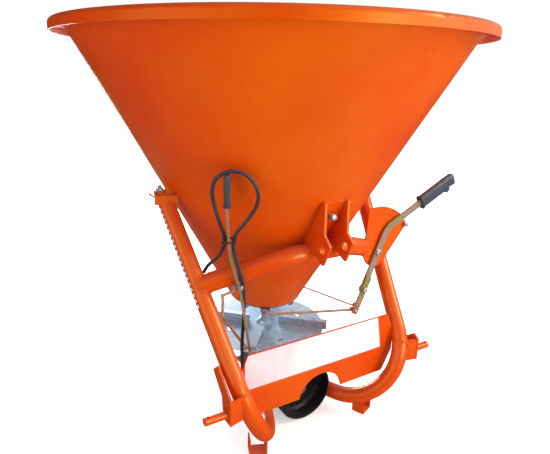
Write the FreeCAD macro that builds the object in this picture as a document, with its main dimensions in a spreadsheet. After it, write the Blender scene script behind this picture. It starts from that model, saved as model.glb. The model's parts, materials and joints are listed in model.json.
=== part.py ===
import FreeCAD, Part
import math
import os
import Sketcher
from FreeCAD import Placement, Rotation, Vector

# Mounted cone fertilizer spreader, millimetres.  +Z up, the hitch side faces -Y, the
# hopper axis is the Z axis and the ground is z = 0.

doc = FreeCAD.newDocument("ConeSpreader")
sheet = doc.addObject("Spreadsheet::Sheet", "Dims")

SIZES = [
    # hopper
    ("hopperFloorZ", 338.0), ("floorRadius", 108.0), ("coneStartRadius", 119.0),
    ("coneStartZ", 345.0), ("coneTopRadius", 592.0), ("coneTopZ", 1185.0),
    ("hopperWall", 4.0), ("rimRadius", 642.4), ("rimTopZ", 1219.8), ("rimLipZ", 1189.0),
    ("floorHole", 24.0), ("outletRadius", 70.0), ("outletBore", 21.5),
    # side tubes: top point, virtual corner of the two legs, end of the base leg
    ("tubeRadius", 25.0), ("tubeWall", 3.2), ("tubeBend", 180.0),
    ("topX", 367.0), ("topY", -35.0), ("topZ", 717.0),
    ("cornerX", 261.0), ("cornerY", -528.0), ("baseZ", 49.5),
    ("baseEndX", 28.0), ("baseEndY", -6.0),
    # cross tube
    ("crossRadius", 28.5), ("crossWall", 3.2), ("crossBend", 150.0), ("crossCornerX", 101.0),
    ("crossY", -297.0), ("crossZ", 596.3), ("crossTilt", 38.1), ("crossLegX", 233.2),
    ("crossLegRun", 139.1),
    # top link bracket
    ("earCentreX", 39.4), ("earThick", 8.0), ("topLinkY", -364.3), ("topLinkZ", 624.1),
    ("topLinkBore", 12.8), ("webThick", 5.0),
    # front plate
    ("plateY", -341.7), ("plateThick", 6.0), ("plateTopZ", 351.0), ("plateBottomZ", 152.6),
    ("plateTopX", 256.0), ("plateSideX", 284.0), ("plateBottomX", 248.0),
    ("notchRadius", 80.3), ("notchZ", 136.1),
    # lower hitch
    ("pinShoulderX", 341.5), ("pinLength", 65.3), ("pinRadius", 11.0), ("pinY", -381.6),
    ("pinZ", 224.5), ("pinRoot", 46.0), ("collarRadius", 14.0), ("linchRadius", 3.7),
    ("linchFromEnd", 11.0), ("bracketThick", 6.0), ("bracketFrontY", -403.0),
    # feet
    ("footWidth", 54.0), ("footLength", 41.0), ("footWall", 4.0), ("footX", 195.0),
    ("footY", -307.0), ("footTurn", 22.0), ("footHeight", 50.0),
    ("rearFootWidth", 190.0), ("rearFootLength", 50.0), ("rearFootY", -45.0),
    # gearbox and drive
    ("shaftZ", 103.0), ("boxHalf", 60.0), ("boxTopZ", 166.0), ("carrierThick", 6.0),
    ("carrierHalfX", 84.0), ("snoutRadius", 38.0), ("snoutFrontY", -118.0),
    ("ptoRadius", 17.45), ("ptoFrontY", -250.0), ("bearingGap", 0.3), ("seatRadius", 20.0),
    ("seatLength", 38.0), ("splineLength", 76.0), ("splineRoot", 14.7), ("splineTooth", 8.7),
    ("lockFromEnd", 37.0), ("lockWidth", 8.0),
    ("guardRadius", 95.4), ("guardFrontY", -264.8), ("guardWall", 3.0),
    ("guardSkirt", 46.0), ("guardLedge", 12.0), ("guardNeck", 41.3),
    ("neckRadius", 30.0), ("neckTopZ", 176.0), ("outputRadius", 15.0),
    # spreading disc
    ("discRadius", 209.3), ("discZ", 227.0), ("discThick", 3.0), ("hubRadius", 34.0),
    ("discHole", 4.5), ("discHoleReach", 168.0),
    ("vaneHeight", 27.0), ("vaneWidth", 20.0), ("vaneSheet", 2.0), ("vaneStart", 52.0),
    ("vaneEnd", 222.0),
    # metering plates below the floor
    ("meterSheet", 3.0), ("meterGap", 1.0), ("meterRadius", 100.0), ("earReach", 122.0),
    ("earReachUpper", 134.0), ("earHole", 10.4), ("earHoleUpper", 7.5), ("earWall", 5.0),
    # dosing lever and its scale plate
    ("pivotX", 252.2), ("pivotZ", 540.8), ("scaleY", -266.0), ("scaleThick", 5.0),
    ("leverGap", 5.0),
    ("scaleRadius", 149.0), ("scaleHub", 50.0), ("barThick", 6.0), ("barWidth", 22.0),
    ("lowerArm", 201.7), ("lowerAngle", 23.6), ("jointDown", 126.2),
    ("bendReach", 84.4), ("bendTurn", 40.4), ("bendRadius", 58.0), ("gripReach", 155.0),
    ("gripWidth", 31.0), ("gripThick", 18.5), ("gripCollar", 4.0), ("gripLength", 152.0),
    ("shutGripLength", 110.0),
    # hose
    ("hoseRadius", 5.0), ("ferruleRadius", 8.0), ("ferruleLength", 24.0),
    ("tieHalfWide", 17.9), ("tieHalfDeep", 12.0), ("tieBand", 1.6), ("tieHeight", 5.0),
]
for row, (alias, number) in enumerate(SIZES, start=1):
    sheet.set("A%d" % row, alias)
    sheet.set("B%d" % row, repr(number))
    sheet.setAlias("B%d" % row, alias)
doc.recompute()


class Size:
    """A number together with the spreadsheet formula that gives it."""

    def __init__(self, value, formula):
        self.value = float(value)
        self.formula = formula

    def _join(self, other, sign, flip=False):
        other = as_size(other)
        left, right = (other, self) if flip else (self, other)
        if sign == "+":
            value = left.value + right.value
        elif sign == "-":
            value = left.value - right.value
        elif sign == "*":
            value = left.value * right.value
        else:
            value = left.value / right.value
        return Size(value, "(%s %s %s)" % (left.formula, sign, right.formula))

    def __add__(self, other):
        return self._join(other, "+")

    def __radd__(self, other):
        return self._join(other, "+", True)

    def __sub__(self, other):
        return self._join(other, "-")

    def __rsub__(self, other):
        return self._join(other, "-", True)

    def __mul__(self, other):
        return self._join(other, "*")

    def __rmul__(self, other):
        return self._join(other, "*", True)

    def __truediv__(self, other):
        return self._join(other, "/")

    def __neg__(self):
        return Size(-self.value, "(-1 * %s)" % self.formula)

    def __float__(self):
        return self.value


def as_size(item):
    if isinstance(item, Size):
        return item
    return Size(item, "(%r)" % float(item) if item < 0 else "%r" % float(item))


def half_tan(angle):
    """Tangent of half an angle that is given in degrees."""
    return Size(math.tan(math.radians(angle.value / 2.0)), "tan(%s * 1 deg / 2)" % angle.formula)


class Names:
    """Every cell of the sheet as an attribute, read back from the sheet itself."""


n = Names()
for alias, _ in SIZES:
    setattr(n, alias, Size(sheet.get(alias), "Dims." + alias))


def bind(item, prop, size):
    size = as_size(size)
    setattr(item, prop, size.value)
    if "Dims." in size.formula:
        item.setExpression(prop, size.formula)


def new_body(label):
    body = doc.addObject("PartDesign::Body", label)
    body.Label = label
    return body


def new_sketch(body, role, name, lift=None):
    sketch = body.newObject("Sketcher::SketchObject", name)
    plane = [f for f in body.Origin.OriginFeatures if f.Role == role][0]
    sketch.AttachmentSupport = [(plane, "")]
    sketch.MapMode = "FlatFace"
    if lift is not None:
        lift = as_size(lift)
        sketch.AttachmentOffset = Placement(Vector(0, 0, lift.value), Rotation())
        if "Dims." in lift.formula:
            sketch.setExpression("AttachmentOffset.Base.z", lift.formula)
    return sketch


def fix(sketch, geometry, end, point):
    """Hold one end of a curve at a point given by two sizes."""
    for kind, size in (("DistanceX", as_size(point[0])), ("DistanceY", as_size(point[1]))):
        index = sketch.addConstraint(
            Sketcher.Constraint(kind, -1, 1, geometry, end, size.value))
        if "Dims." in size.formula:
            sketch.setExpression("Constraints[%d]" % index, size.formula)


def outline(sketch, points, rounds=None):
    """Closed outline through the points; rounds gives the radius at a corner's index."""
    first = sketch.GeometryCount
    count = len(points)
    flat = [Vector(float(x), float(y), 0) for x, y in points]
    for i in range(count):
        sketch.addGeometry(Part.LineSegment(flat[i], flat[(i + 1) % count]), False)
    for i in range(count):
        sketch.addConstraint(
            Sketcher.Constraint("Coincident", first + i, 2, first + (i + 1) % count, 1))
    for i in range(count):
        fix(sketch, first + i, 1, points[i])
    for corner, radius in (rounds or {}).items():
        before = first + (corner - 1) % count
        near = flat[corner] * 0.7 + flat[(corner - 1) % count] * 0.3
        far = flat[corner] * 0.7 + flat[(corner + 1) % count] * 0.3
        sketch.fillet(before, first + corner, near, far, float(radius), True, True)
        arc = sketch.GeometryCount - 2
        held = sketch.addConstraint(Sketcher.Constraint("Radius", arc, float(radius)))
        if isinstance(radius, Size):
            sketch.setExpression("Constraints[%d]" % held, radius.formula)


def ring(sketch, centre, radius):
    radius = as_size(radius)
    here = Vector(float(centre[0]), float(centre[1]), 0)
    index = sketch.addGeometry(Part.Circle(here, Vector(0, 0, 1), radius.value), False)
    fix(sketch, index, 3, centre)
    held = sketch.addConstraint(Sketcher.Constraint("Radius", index, radius.value))
    if "Dims." in radius.formula:
        sketch.setExpression("Constraints[%d]" % held, radius.formula)


def pad(body, sketch, length, reverse=False):
    feature = body.newObject("PartDesign::Pad", sketch.Name + "Pad")
    feature.Profile = sketch
    bind(feature, "Length", length)
    feature.Reversed = reverse
    sketch.Visibility = False
    body.Tip = feature
    return feature


def cut_through(body, sketch):
    """Pocket through the whole body, both ways, checked by the volume it takes away."""
    doc.recompute()
    before = body.Shape.Volume
    feature = body.newObject("PartDesign::Pocket", sketch.Name + "Pocket")
    feature.Profile = sketch
    feature.Type = "ThroughAll"
    feature.Midplane = True
    body.Tip = feature
    doc.recompute()
    if body.Shape.Volume > before - 1.0:
        raise RuntimeError("pocket %s takes nothing away" % feature.Name)
    return feature


def revolve(body, sketch, turn=360.0):
    axis = [f for f in body.Origin.OriginFeatures if f.Role == "Z_Axis"][0]
    feature = body.newObject("PartDesign::Revolution", sketch.Name + "Turn")
    feature.Profile = sketch
    feature.ReferenceAxis = (axis, [""])
    feature.Angle = turn
    body.Tip = feature
    return feature


def bent_spine(body, name, legs, turns, bend):
    """A path in the body's XZ plane that starts at the origin along +Z."""
    sketch = new_sketch(body, "XZ_Plane", name)
    here = Vector(0, 0, 0)
    heading = math.radians(90)
    previous = None
    for i, leg in enumerate(legs):
        leg = as_size(leg)
        step = Vector(math.cos(heading), math.sin(heading), 0) * leg.value
        line = sketch.addGeometry(Part.LineSegment(here, here + step), False)
        if previous is None:
            sketch.addConstraint(Sketcher.Constraint("Coincident", line, 1, -1, 1))
            sketch.addConstraint(Sketcher.Constraint("Vertical", line))
        else:
            sketch.addConstraint(Sketcher.Constraint("Tangent", previous[0], previous[1], line, 1))
        held = sketch.addConstraint(Sketcher.Constraint("Distance", line, leg.value))
        if "Dims." in leg.formula:
            sketch.setExpression("Constraints[%d]" % held, leg.formula)
        here = here + step
        if i == len(turns):
            break
        turn = as_size(turns[i])
        radius = as_size(bend)
        side = -1.0 if turn.value > 0 else 1.0
        normal = Vector(-math.sin(heading), math.cos(heading), 0) * side
        centre = here + normal * radius.value
        sweep = math.radians(abs(turn.value))
        start = math.atan2(here.y - centre.y, here.x - centre.x)
        circle = Part.Circle(centre, Vector(0, 0, 1), radius.value)
        if side > 0:
            arc = Part.ArcOfCircle(circle, start, start + sweep)
            near, far = 1, 2
            heading += sweep
            here = centre + Vector(math.cos(start + sweep), math.sin(start + sweep), 0) * radius.value
        else:
            arc = Part.ArcOfCircle(circle, start - sweep, start)
            near, far = 2, 1
            heading -= sweep
            here = centre + Vector(math.cos(start - sweep), math.sin(start - sweep), 0) * radius.value
        curve = sketch.addGeometry(arc, False)
        sketch.addConstraint(Sketcher.Constraint("Tangent", line, 2, curve, near))
        held = sketch.addConstraint(Sketcher.Constraint("Radius", curve, radius.value))
        if "Dims." in radius.formula:
            sketch.setExpression("Constraints[%d]" % held, radius.formula)
        sketch.addConstraint(Sketcher.Constraint("Angle", curve, sweep))
        previous = (curve, far)
    return sketch


def sweep_body(label, section, spine):
    body = section.getParentGeoFeatureGroup()
    feature = body.newObject("PartDesign::AdditivePipe", label + "Sweep")
    feature.Profile = section
    feature.Spine = spine
    body.Tip = feature
    return feature


def frame_of(origin, zdir, xdir):
    """Placement whose local Z and X lie along the two given directions."""
    z = Vector(zdir).normalize()
    x = Vector(xdir) - z * Vector(xdir).dot(z)
    x.normalize()
    y = z.cross(x)
    matrix = FreeCAD.Matrix(
        x.x, y.x, z.x, origin.x, x.y, y.y, z.y, origin.y, x.z, y.z, z.z, origin.z, 0, 0, 0, 1)
    return Placement(matrix)


def cylinder(name, radius, height, place):
    item = doc.addObject("Part::Cylinder", name)
    bind(item, "Radius", radius)
    bind(item, "Height", height)
    item.Placement = place
    return item


def box(name, length, width, height, place):
    item = doc.addObject("Part::Box", name)
    bind(item, "Length", length)
    bind(item, "Width", width)
    bind(item, "Height", height)
    item.Placement = place
    return item


def joined(label, items):
    if len(items) == 1:
        items[0].Label = label
        return items[0]
    item = doc.addObject("Part::MultiFuse", label)
    item.Label = label
    item.Shapes = items
    return item


def less(label, base, tools):
    item = doc.addObject("Part::Cut", label)
    item.Label = label
    item.Base = base
    if len(tools) == 1:
        item.Tool = tools[0]
    else:
        item.Tool = joined(label + "Tools", tools)
    return item


def along(point, direction):
    """Placement that turns local Z onto the given direction."""
    return Placement(point, Rotation(Vector(0, 0, 1), direction))


def mirrored_point(point, side):
    return Vector(point.x * side, point.y, point.z)


PARTS = []
SIDES = (("left", -1.0), ("right", 1.0))

# --- hopper: cone, flat floor and a rim that turns out and down --------------------------
hopper_body = new_body("hopper_shell")
profile = new_sketch(hopper_body, "XZ_Plane", "HopperProfile")
w = n.hopperWall
cone_slope = (n.coneTopRadius - n.coneStartRadius) / (n.coneTopZ - n.coneStartZ)
under_rim = n.coneTopRadius + cone_slope * (n.rimTopZ - w - n.coneTopZ)
over_rim = n.coneTopRadius - 1.15 * w + cone_slope * (n.rimTopZ - n.coneTopZ)
outline(profile, [
    (n.floorHole, n.hopperFloorZ),
    (n.floorRadius, n.hopperFloorZ),
    (n.coneStartRadius, n.coneStartZ),
    (under_rim, n.rimTopZ - w),
    (n.rimRadius - w, n.rimTopZ - w),
    (n.rimRadius - w, n.rimLipZ),
    (n.rimRadius, n.rimLipZ),
    (n.rimRadius, n.rimTopZ),
    (over_rim, n.rimTopZ),
    (n.coneStartRadius - 1.15 * w, n.coneStartZ + 0.2 * w),
    (n.floorRadius - 0.6 * w, n.hopperFloorZ + w),
    (n.floorHole, n.hopperFloorZ + w),
], {3: 18.0, 4: 8.0, 7: 12.0, 8: 14.0})
revolve(hopper_body, profile)
outlets = new_sketch(hopper_body, "XY_Plane", "Outlets")
OUTLET_ANGLES = (30.0, 150.0)
for angle in OUTLET_ANGLES:
    c, s = math.cos(math.radians(angle)), math.sin(math.radians(angle))
    ring(outlets, (n.outletRadius * c, n.outletRadius * s), n.outletBore)
cut_through(hopper_body, outlets)
hopper_body.Label = "hopper"
PARTS.append(hopper_body)



def cone_radius(z):
    """Outer radius of the cone at a height."""
    return n.coneStartRadius.value + (z - n.coneStartZ.value) * cone_slope.value


def cone_tool(name, gap=0.0):
    """The cone as a solid, to trim what seats on it."""
    item = doc.addObject("Part::Cone", name)
    bind(item, "Radius1", n.coneStartRadius + gap)
    bind(item, "Radius2", n.coneTopRadius + gap)
    bind(item, "Height", n.coneTopZ - n.coneStartZ)
    item.Placement = Placement(Vector(0, 0, n.coneStartZ.value), Rotation())
    return item


# --- side tubes --------------------------------------------------------------------------
top = Vector(n.topX.value, n.topY.value, n.topZ.value)
corner = Vector(n.cornerX.value, n.cornerY.value, n.baseZ.value)
base_end = Vector(n.baseEndX.value, n.baseEndY.value, n.baseZ.value)
to_top = top - corner
to_base = base_end - corner
between = math.degrees(to_top.getAngle(to_base))
setback = n.tubeBend.value / math.tan(math.radians(between / 2))
upper_leg = to_top.Length - setback
base_leg = to_base.Length - setback


tube_tools = {}
for side_name, side in SIDES:
    body = new_body("TubeShell" + side_name)
    spine = bent_spine(body, "TubePath" + side_name, [upper_leg, base_leg], [180.0 - between],
                       n.tubeBend)
    section = new_sketch(body, "XY_Plane", "TubeSection" + side_name)
    ring(section, (0, 0), n.tubeRadius)
    ring(section, (0, 0), n.tubeRadius - n.tubeWall)
    sweep_body("SideTube" + side_name, section, spine)
    down = mirrored_point(corner - top, side)
    inward = mirrored_point(to_base, side)
    body.Placement = frame_of(mirrored_point(top, side), down, inward)
    # both ends are closed by a welded disc inside the tube
    discs = [cylinder("TopDisc" + side_name, n.tubeRadius - n.tubeWall, n.tubeWall,
                      along(mirrored_point(top, side), down)),
             cylinder("BaseDisc" + side_name, n.tubeRadius - n.tubeWall, n.tubeWall,
                      along(mirrored_point(base_end, side), -inward))]
    PARTS.append(joined("side_tube_" + side_name, [body] + discs))
    # the same tube without its bore, to trim what is welded to it
    solid = new_body("tube_solid_" + side_name)
    spine = bent_spine(solid, "SolidPath" + side_name, [upper_leg, base_leg],
                       [180.0 - between], n.tubeBend)
    section = new_sketch(solid, "XY_Plane", "SolidSection" + side_name)
    ring(section, (0, 0), n.tubeRadius)
    sweep_body("SolidTube" + side_name, section, spine)
    solid.Placement = body.Placement
    tube_tools[side_name] = solid

# --- cross tube: a bow in a tilted plane, one half swept and mirrored ------------------------
leg_angle = math.degrees(math.atan2(n.crossLegRun.value, n.crossLegX.value))
cross_setback = n.crossBend.value * math.tan(math.radians(leg_angle / 2))
cross_leg = math.hypot(n.crossLegRun.value, n.crossLegX.value) - cross_setback
half_bar = n.crossCornerX.value - cross_setback


def cross_half(name, side, hollow=True):
    body = new_body(name)
    spine = bent_spine(body, name + "Path", [half_bar, cross_leg], [leg_angle], n.crossBend)
    section = new_sketch(body, "XY_Plane", name + "Section")
    ring(section, (0, 0), n.crossRadius)
    if hollow:
        ring(section, (0, 0), n.crossRadius - n.crossWall)
    sweep_body(name, section, spine)
    tilt = math.radians(n.crossTilt.value)
    body.Placement = frame_of(Vector(0, n.crossY.value, n.crossZ.value), Vector(side, 0, 0),
                              Vector(0, math.cos(tilt), -math.sin(tilt)))
    return body


cross_bar = joined("CrossBar", [cross_half("CrossHalf" + name, side) for name, side in SIDES])
cross_tube = less("cross_tube", cross_bar, [tube_tools["left"], tube_tools["right"]])
PARTS.append(cross_tube)
cross_core = joined("CrossCore", [cross_half("CoreHalf" + name, side, False)
                                  for name, side in SIDES])

# --- top link bracket: a web on the cone wall and two ears that stand on the cross tube ------
ears = []
for side_name, side in SIDES:
    ear = new_body("Ear" + side_name)
    face = new_sketch(ear, "YZ_Plane", "EarFace" + side_name,
                      n.earCentreX * side - n.earThick / 2.0)
    outline(face, [
        (n.topLinkY, n.topLinkZ + 133.0),
        (n.topLinkY - 3.0, n.topLinkZ + 43.0),
        (n.topLinkY - 30.0, n.topLinkZ + 19.0),
        (n.topLinkY - 3.0, n.topLinkZ - 42.0),
        (n.topLinkY + 40.0, n.topLinkZ - 22.0),
        (n.topLinkY + 92.0, n.topLinkZ + 2.0),
        (n.topLinkY + 16.0, n.topLinkZ + 133.0),
    ], {0: 6.0, 1: 12.0, 2: 22.0, 3: 22.0})
    pad(ear, face, n.earThick)
    hole = new_sketch(ear, "YZ_Plane", "EarHole" + side_name)
    ring(hole, (n.topLinkY, n.topLinkZ), n.topLinkBore)
    cut_through(ear, hole)
    ears.append(ear)
slope = math.degrees(math.atan(cone_slope.value))
web_z = n.topLinkZ.value + 90.0
web = box("Web", 2.0 * n.earCentreX - n.earThick, n.webThick, 105.0,
          Placement(Vector(-(n.earCentreX.value - n.earThick.value / 2.0),
                           -cone_radius(web_z - 50.0) - n.webThick.value - 0.6, web_z - 50.0),
                    Rotation(Vector(1, 0, 0), slope)))
top_link = less("top_link_bracket", joined("TopLinkPlates", ears + [web]),
                [cross_core, cone_tool("ConeForEars", 0.3)])
PARTS.append(top_link)

# --- front plate between the tubes, notched above the drive shaft ----------------------------
plate = new_body("PlateBlank")
face = new_sketch(plate, "XZ_Plane", "PlateFace", -n.plateY)
outline(face, [
    (-n.plateBottomX, n.plateBottomZ), (n.plateBottomX, n.plateBottomZ),
    (n.plateSideX, n.plateBottomZ + 68.0), (n.plateSideX, n.plateTopZ - 60.0),
    (n.plateTopX, n.plateTopZ), (-n.plateTopX, n.plateTopZ),
    (-n.plateSideX, n.plateTopZ - 60.0), (-n.plateSideX, n.plateBottomZ + 68.0),
])
pad(plate, face, n.plateThick, reverse=True)
notch = new_sketch(plate, "XZ_Plane", "PlateNotch")
ring(notch, (0, n.notchZ), n.notchRadius)
cut_through(plate, notch)
front_plate = less("front_plate", plate, [tube_tools["left"], tube_tools["right"]])
PARTS.append(front_plate)

# --- lower hitch: bent bracket round each tube and its pin ------------------------------------
for side_name, side in SIDES:
    bracket = new_body("BracketBlank" + side_name)
    wall = new_sketch(bracket, "YZ_Plane", "BracketWall" + side_name,
                      n.pinShoulderX * side - n.bracketThick * (0.5 + 0.5 * side))
    y0 = n.bracketFrontY
    outline(wall, [
        (y0, n.pinZ - 25.0), (y0 + 43.0, n.pinZ - 25.0), (y0 + 51.0, n.pinZ + 37.0),
        (y0 + 105.0, n.pinZ + 87.0), (y0 + 76.0, n.pinZ + 113.0), (y0 + 15.0, n.pinZ + 58.0),
        (y0, n.pinZ + 47.0),
    ])
    pad(bracket, wall, n.bracketThick)
    front = new_sketch(bracket, "XY_Plane", "BracketFront" + side_name, n.pinZ - 25.0)
    xs = n.pinShoulderX * side
    outline(front, [
        (xs, y0), (xs - 58.0 * side, y0 + 13.0), (xs - 58.0 * side, y0 + 19.0),
        (xs - n.bracketThick * side, y0 + n.bracketThick), (xs - n.bracketThick * side, y0 + 10.0),
        (xs, y0 + 10.0),
    ])
    pad(bracket, front, 72.0)
    rod = new_body("PinRod" + side_name)
    profile = new_sketch(rod, "XZ_Plane", "PinProfile" + side_name)
    end = n.pinRoot + n.pinLength
    outline(profile, [(0, 0), (n.collarRadius, 0), (n.collarRadius, n.pinRoot),
                      (n.pinRadius, n.pinRoot), (n.pinRadius, end - 2.0),
                      (n.pinRadius - 2.0, end), (0, end)])
    revolve(rod, profile)
    pin_start = n.pinShoulderX - n.pinRoot
    spot = Vector(side * pin_start.value, n.pinY.value, n.pinZ.value)
    rod.Placement = along(spot, Vector(side, 0, 0))
    eye = Vector(side * (n.pinShoulderX.value + n.pinLength.value - n.linchFromEnd.value),
                 n.pinY.value, n.pinZ.value - 20.0)
    linch = cylinder("LinchHole" + side_name, n.linchRadius, 40.0, Placement(eye, Rotation()))
    PARTS.append(less("pin_bracket_" + side_name, bracket, [tube_tools[side_name], rod]))
    PARTS.append(less("lower_pin_" + side_name, rod, [tube_tools[side_name], linch]))

# --- feet ---------------------------------------------------------------------------------------
foot_parts = []
for side_name, side in SIDES:
    foot = new_body("Foot" + side_name)
    ends = new_sketch(foot, "XZ_Plane", "FootEnd" + side_name)
    a = n.footWidth / 2.0
    b = a - n.footWall
    outline(ends, [(-a, 0), (a, 0), (a, n.footHeight), (b, n.footHeight), (b, n.footWall),
                   (-b, n.footWall), (-b, n.footHeight), (-a, n.footHeight)],
            {0: n.footWall, 1: n.footWall})
    pad(foot, ends, n.footLength)
    foot.Placement = Placement(Vector(side * n.footX.value, n.footY.value + 14.0, 0),
                               Rotation(Vector(0, 0, 1), side * n.footTurn.value))
    foot_parts.append(foot)
rear = box("RearFootBar", n.rearFootWidth, n.rearFootLength, n.baseZ - n.tubeRadius + 4.0,
           Placement(Vector(-n.rearFootWidth.value / 2, n.rearFootY.value, 0), Rotation()))
PARTS.append(less("front_feet", joined("FrontFeetBlank", foot_parts),
                  [tube_tools["left"], tube_tools["right"]]))
PARTS.append(less("rear_foot", rear, [tube_tools["left"], tube_tools["right"]]))

# --- seats of the hopper on the tube tops ----------------------------------------------------------
caps = []
lugs = []
bolts = []
for side_name, side in SIDES:
    x0 = n.topX.value + 7.0
    z0 = n.topZ.value + 24.0
    plate_box = box("CapTop" + side_name, 70.0, 50.0, 6.0,
                    Placement(Vector(side * x0 - 35.0, -53.0, z0), Rotation()))
    skirt = box("CapFront" + side_name, 70.0, 6.0, 26.0,
                Placement(Vector(side * x0 - 35.0, -59.0, z0 - 20.0), Rotation()))
    caps += [plate_box, skirt]
    flange = box("LugFlange" + side_name, 62.0, 40.0, 6.0,
                 Placement(Vector(side * (x0 - 10.0) - 31.0, -48.0, z0 + 6.0), Rotation()))
    rib = new_body("LugRib" + side_name)
    face = new_sketch(rib, "XZ_Plane", "LugRibFace" + side_name, 48.0)
    outline(face, [(side * (x0 - 41.0), z0 + 10.0), (side * (x0 - 2.0), z0 + 10.0),
                   (side * (x0 + 2.0), z0 + 60.0), (side * (x0 - 41.0), z0 + 60.0)])
    pad(rib, face, 6.0, reverse=True)
    lugs += [flange, rib]
    bolts.append(cylinder("LugBolt" + side_name, 5.8, 32.0,
                          Placement(Vector(side * (x0 + 9.0), -25.0, z0 - 6.0), Rotation())))
    bolts.append(cylinder("LugNut" + side_name, 9.5, 10.0,
                          Placement(Vector(side * (x0 + 9.0), -25.0, z0 + 12.0), Rotation())))
lug_bolts = joined("hopper_bolts", bolts)
PARTS.append(less("tube_caps", joined("TubeCapBlank", caps),
                  [tube_tools["left"], tube_tools["right"], cone_tool("ConeForCaps", 0.5)]
                  + bolts[0::2]))
PARTS.append(less("hopper_lugs", joined("HopperLugBlank", lugs),
                  [cone_tool("ConeForLugs")] + bolts[0::2]))
PARTS.append(lug_bolts)

# --- gearbox on its carrier ----------------------------------------------------------------------------
carrier_z = n.baseZ + n.tubeRadius
carrier = box("carrier_plate", 2.0 * n.carrierHalfX, 2.0 * n.boxHalf, n.carrierThick,
              Placement(Vector(-n.carrierHalfX.value, -n.boxHalf.value, carrier_z.value), Rotation()))
case = new_body("GearCase")
plan = new_sketch(case, "XY_Plane", "CasePlan", carrier_z + n.carrierThick)
e = n.boxHalf
f = n.boxHalf - 14.0
outline(plan, [(-e, -f), (-f, -e), (f, -e), (e, -f), (e, f), (f, e), (-f, e), (-e, f)])
pad(case, plan, n.boxTopZ - carrier_z - n.carrierThick)
snout = cylinder("Snout", n.snoutRadius, -n.snoutFrontY - n.boxHalf + 10.0,
                 along(Vector(0, -n.boxHalf.value + 10.0, n.shaftZ.value), Vector(0, -1, 0)))
neck = cylinder("Neck", n.neckRadius, n.neckTopZ - n.boxTopZ + 6.0,
                Placement(Vector(0, 0, n.boxTopZ.value - 6.0), Rotation()))
to_front = Vector(0, -1, 0)
front_bore = cylinder("FrontBore", n.seatRadius + n.bearingGap, n.seatLength + 4.0,
                      along(Vector(0, n.snoutFrontY.value + n.seatLength.value + 2.0,
                                   n.shaftZ.value), to_front))
top_bore = cylinder("TopBore", n.outputRadius + n.bearingGap, 32.0,
                    Placement(Vector(0, 0, n.neckTopZ.value - 30.0), Rotation()))
PARTS.append(less("gearbox_carrier", carrier, [snout]))
PARTS.append(less("gearbox", joined("GearboxBlank", [case, snout, neck]), [front_bore, top_bore]))

# drive shaft: bearing seat, round neck and a six-spline end with a ring groove for the lock
turned = new_body("ShaftTurned")
profile = new_sketch(turned, "XZ_Plane", "ShaftProfile")
r = n.ptoRadius
tip = n.seatLength + n.snoutFrontY - n.ptoFrontY
lock = tip - n.lockFromEnd
groove = r - n.splineRoot
outline(profile, [
    (0, 0), (n.seatRadius, 0), (n.seatRadius, n.seatLength), (r, n.seatLength),
    (r, lock - n.lockWidth / 2.0 - groove), (n.splineRoot, lock - n.lockWidth / 2.0),
    (n.splineRoot, lock + n.lockWidth / 2.0), (r, lock + n.lockWidth / 2.0 + groove),
    (r, tip - 3.0), (r - 3.0, tip), (0, tip),
])
revolve(turned, profile)
turned.Placement = along(Vector(0, n.snoutFrontY.value + n.seatLength.value, n.shaftZ.value),
                         to_front)
spline_root = Vector(0, n.ptoFrontY.value + n.splineLength.value, n.shaftZ.value)
teeth = [cylinder("SplineCore", n.splineRoot, n.splineLength + 4.0, along(spline_root, to_front))]
for k in range(3):
    across = Vector(math.cos(math.radians(60.0 * k)), 0, math.sin(math.radians(60.0 * k)))
    rib = new_body("SplineRib%d" % k)
    face = new_sketch(rib, "XY_Plane", "RibFace%d" % k)
    wide, half = r + 4.0, n.splineTooth / 2.0
    outline(face, [(-wide, -half), (wide, -half), (wide, half), (-wide, half)])
    pad(rib, face, n.splineLength + 4.0)
    rib.Placement = frame_of(spline_root, to_front, across)
    teeth.append(rib)
sleeve = cylinder("SplineSleeve", r + 3.0, n.splineLength + 2.0, along(spline_root, to_front))
PARTS.append(less("pto_shaft", turned, [less("SplineSpace", sleeve, teeth)]))

guard = new_body("pto_guard")
profile = new_sketch(guard, "XZ_Plane", "GuardProfile")
g = n.guardRadius
t = n.guardWall
depth = n.snoutFrontY - n.guardFrontY + 30.0
outline(profile, [
    (g, 0), (g, n.guardSkirt), (g - n.guardLedge, n.guardSkirt + 3.0), (n.guardNeck, depth - 30.0),
    (n.guardNeck, depth), (n.guardNeck - t, depth), (n.guardNeck - t, depth - 31.0),
    (g - n.guardLedge - t, n.guardSkirt), (g - t, n.guardSkirt - t), (g - t, 0),
], {1: 5.0, 2: 4.0, 3: 8.0})
revolve(guard, profile)
guard.Placement = frame_of(Vector(0, n.guardFrontY.value, n.shaftZ.value), Vector(0, 1, 0),
                           Vector(1, 0, 0))
PARTS.append(guard)

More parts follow.
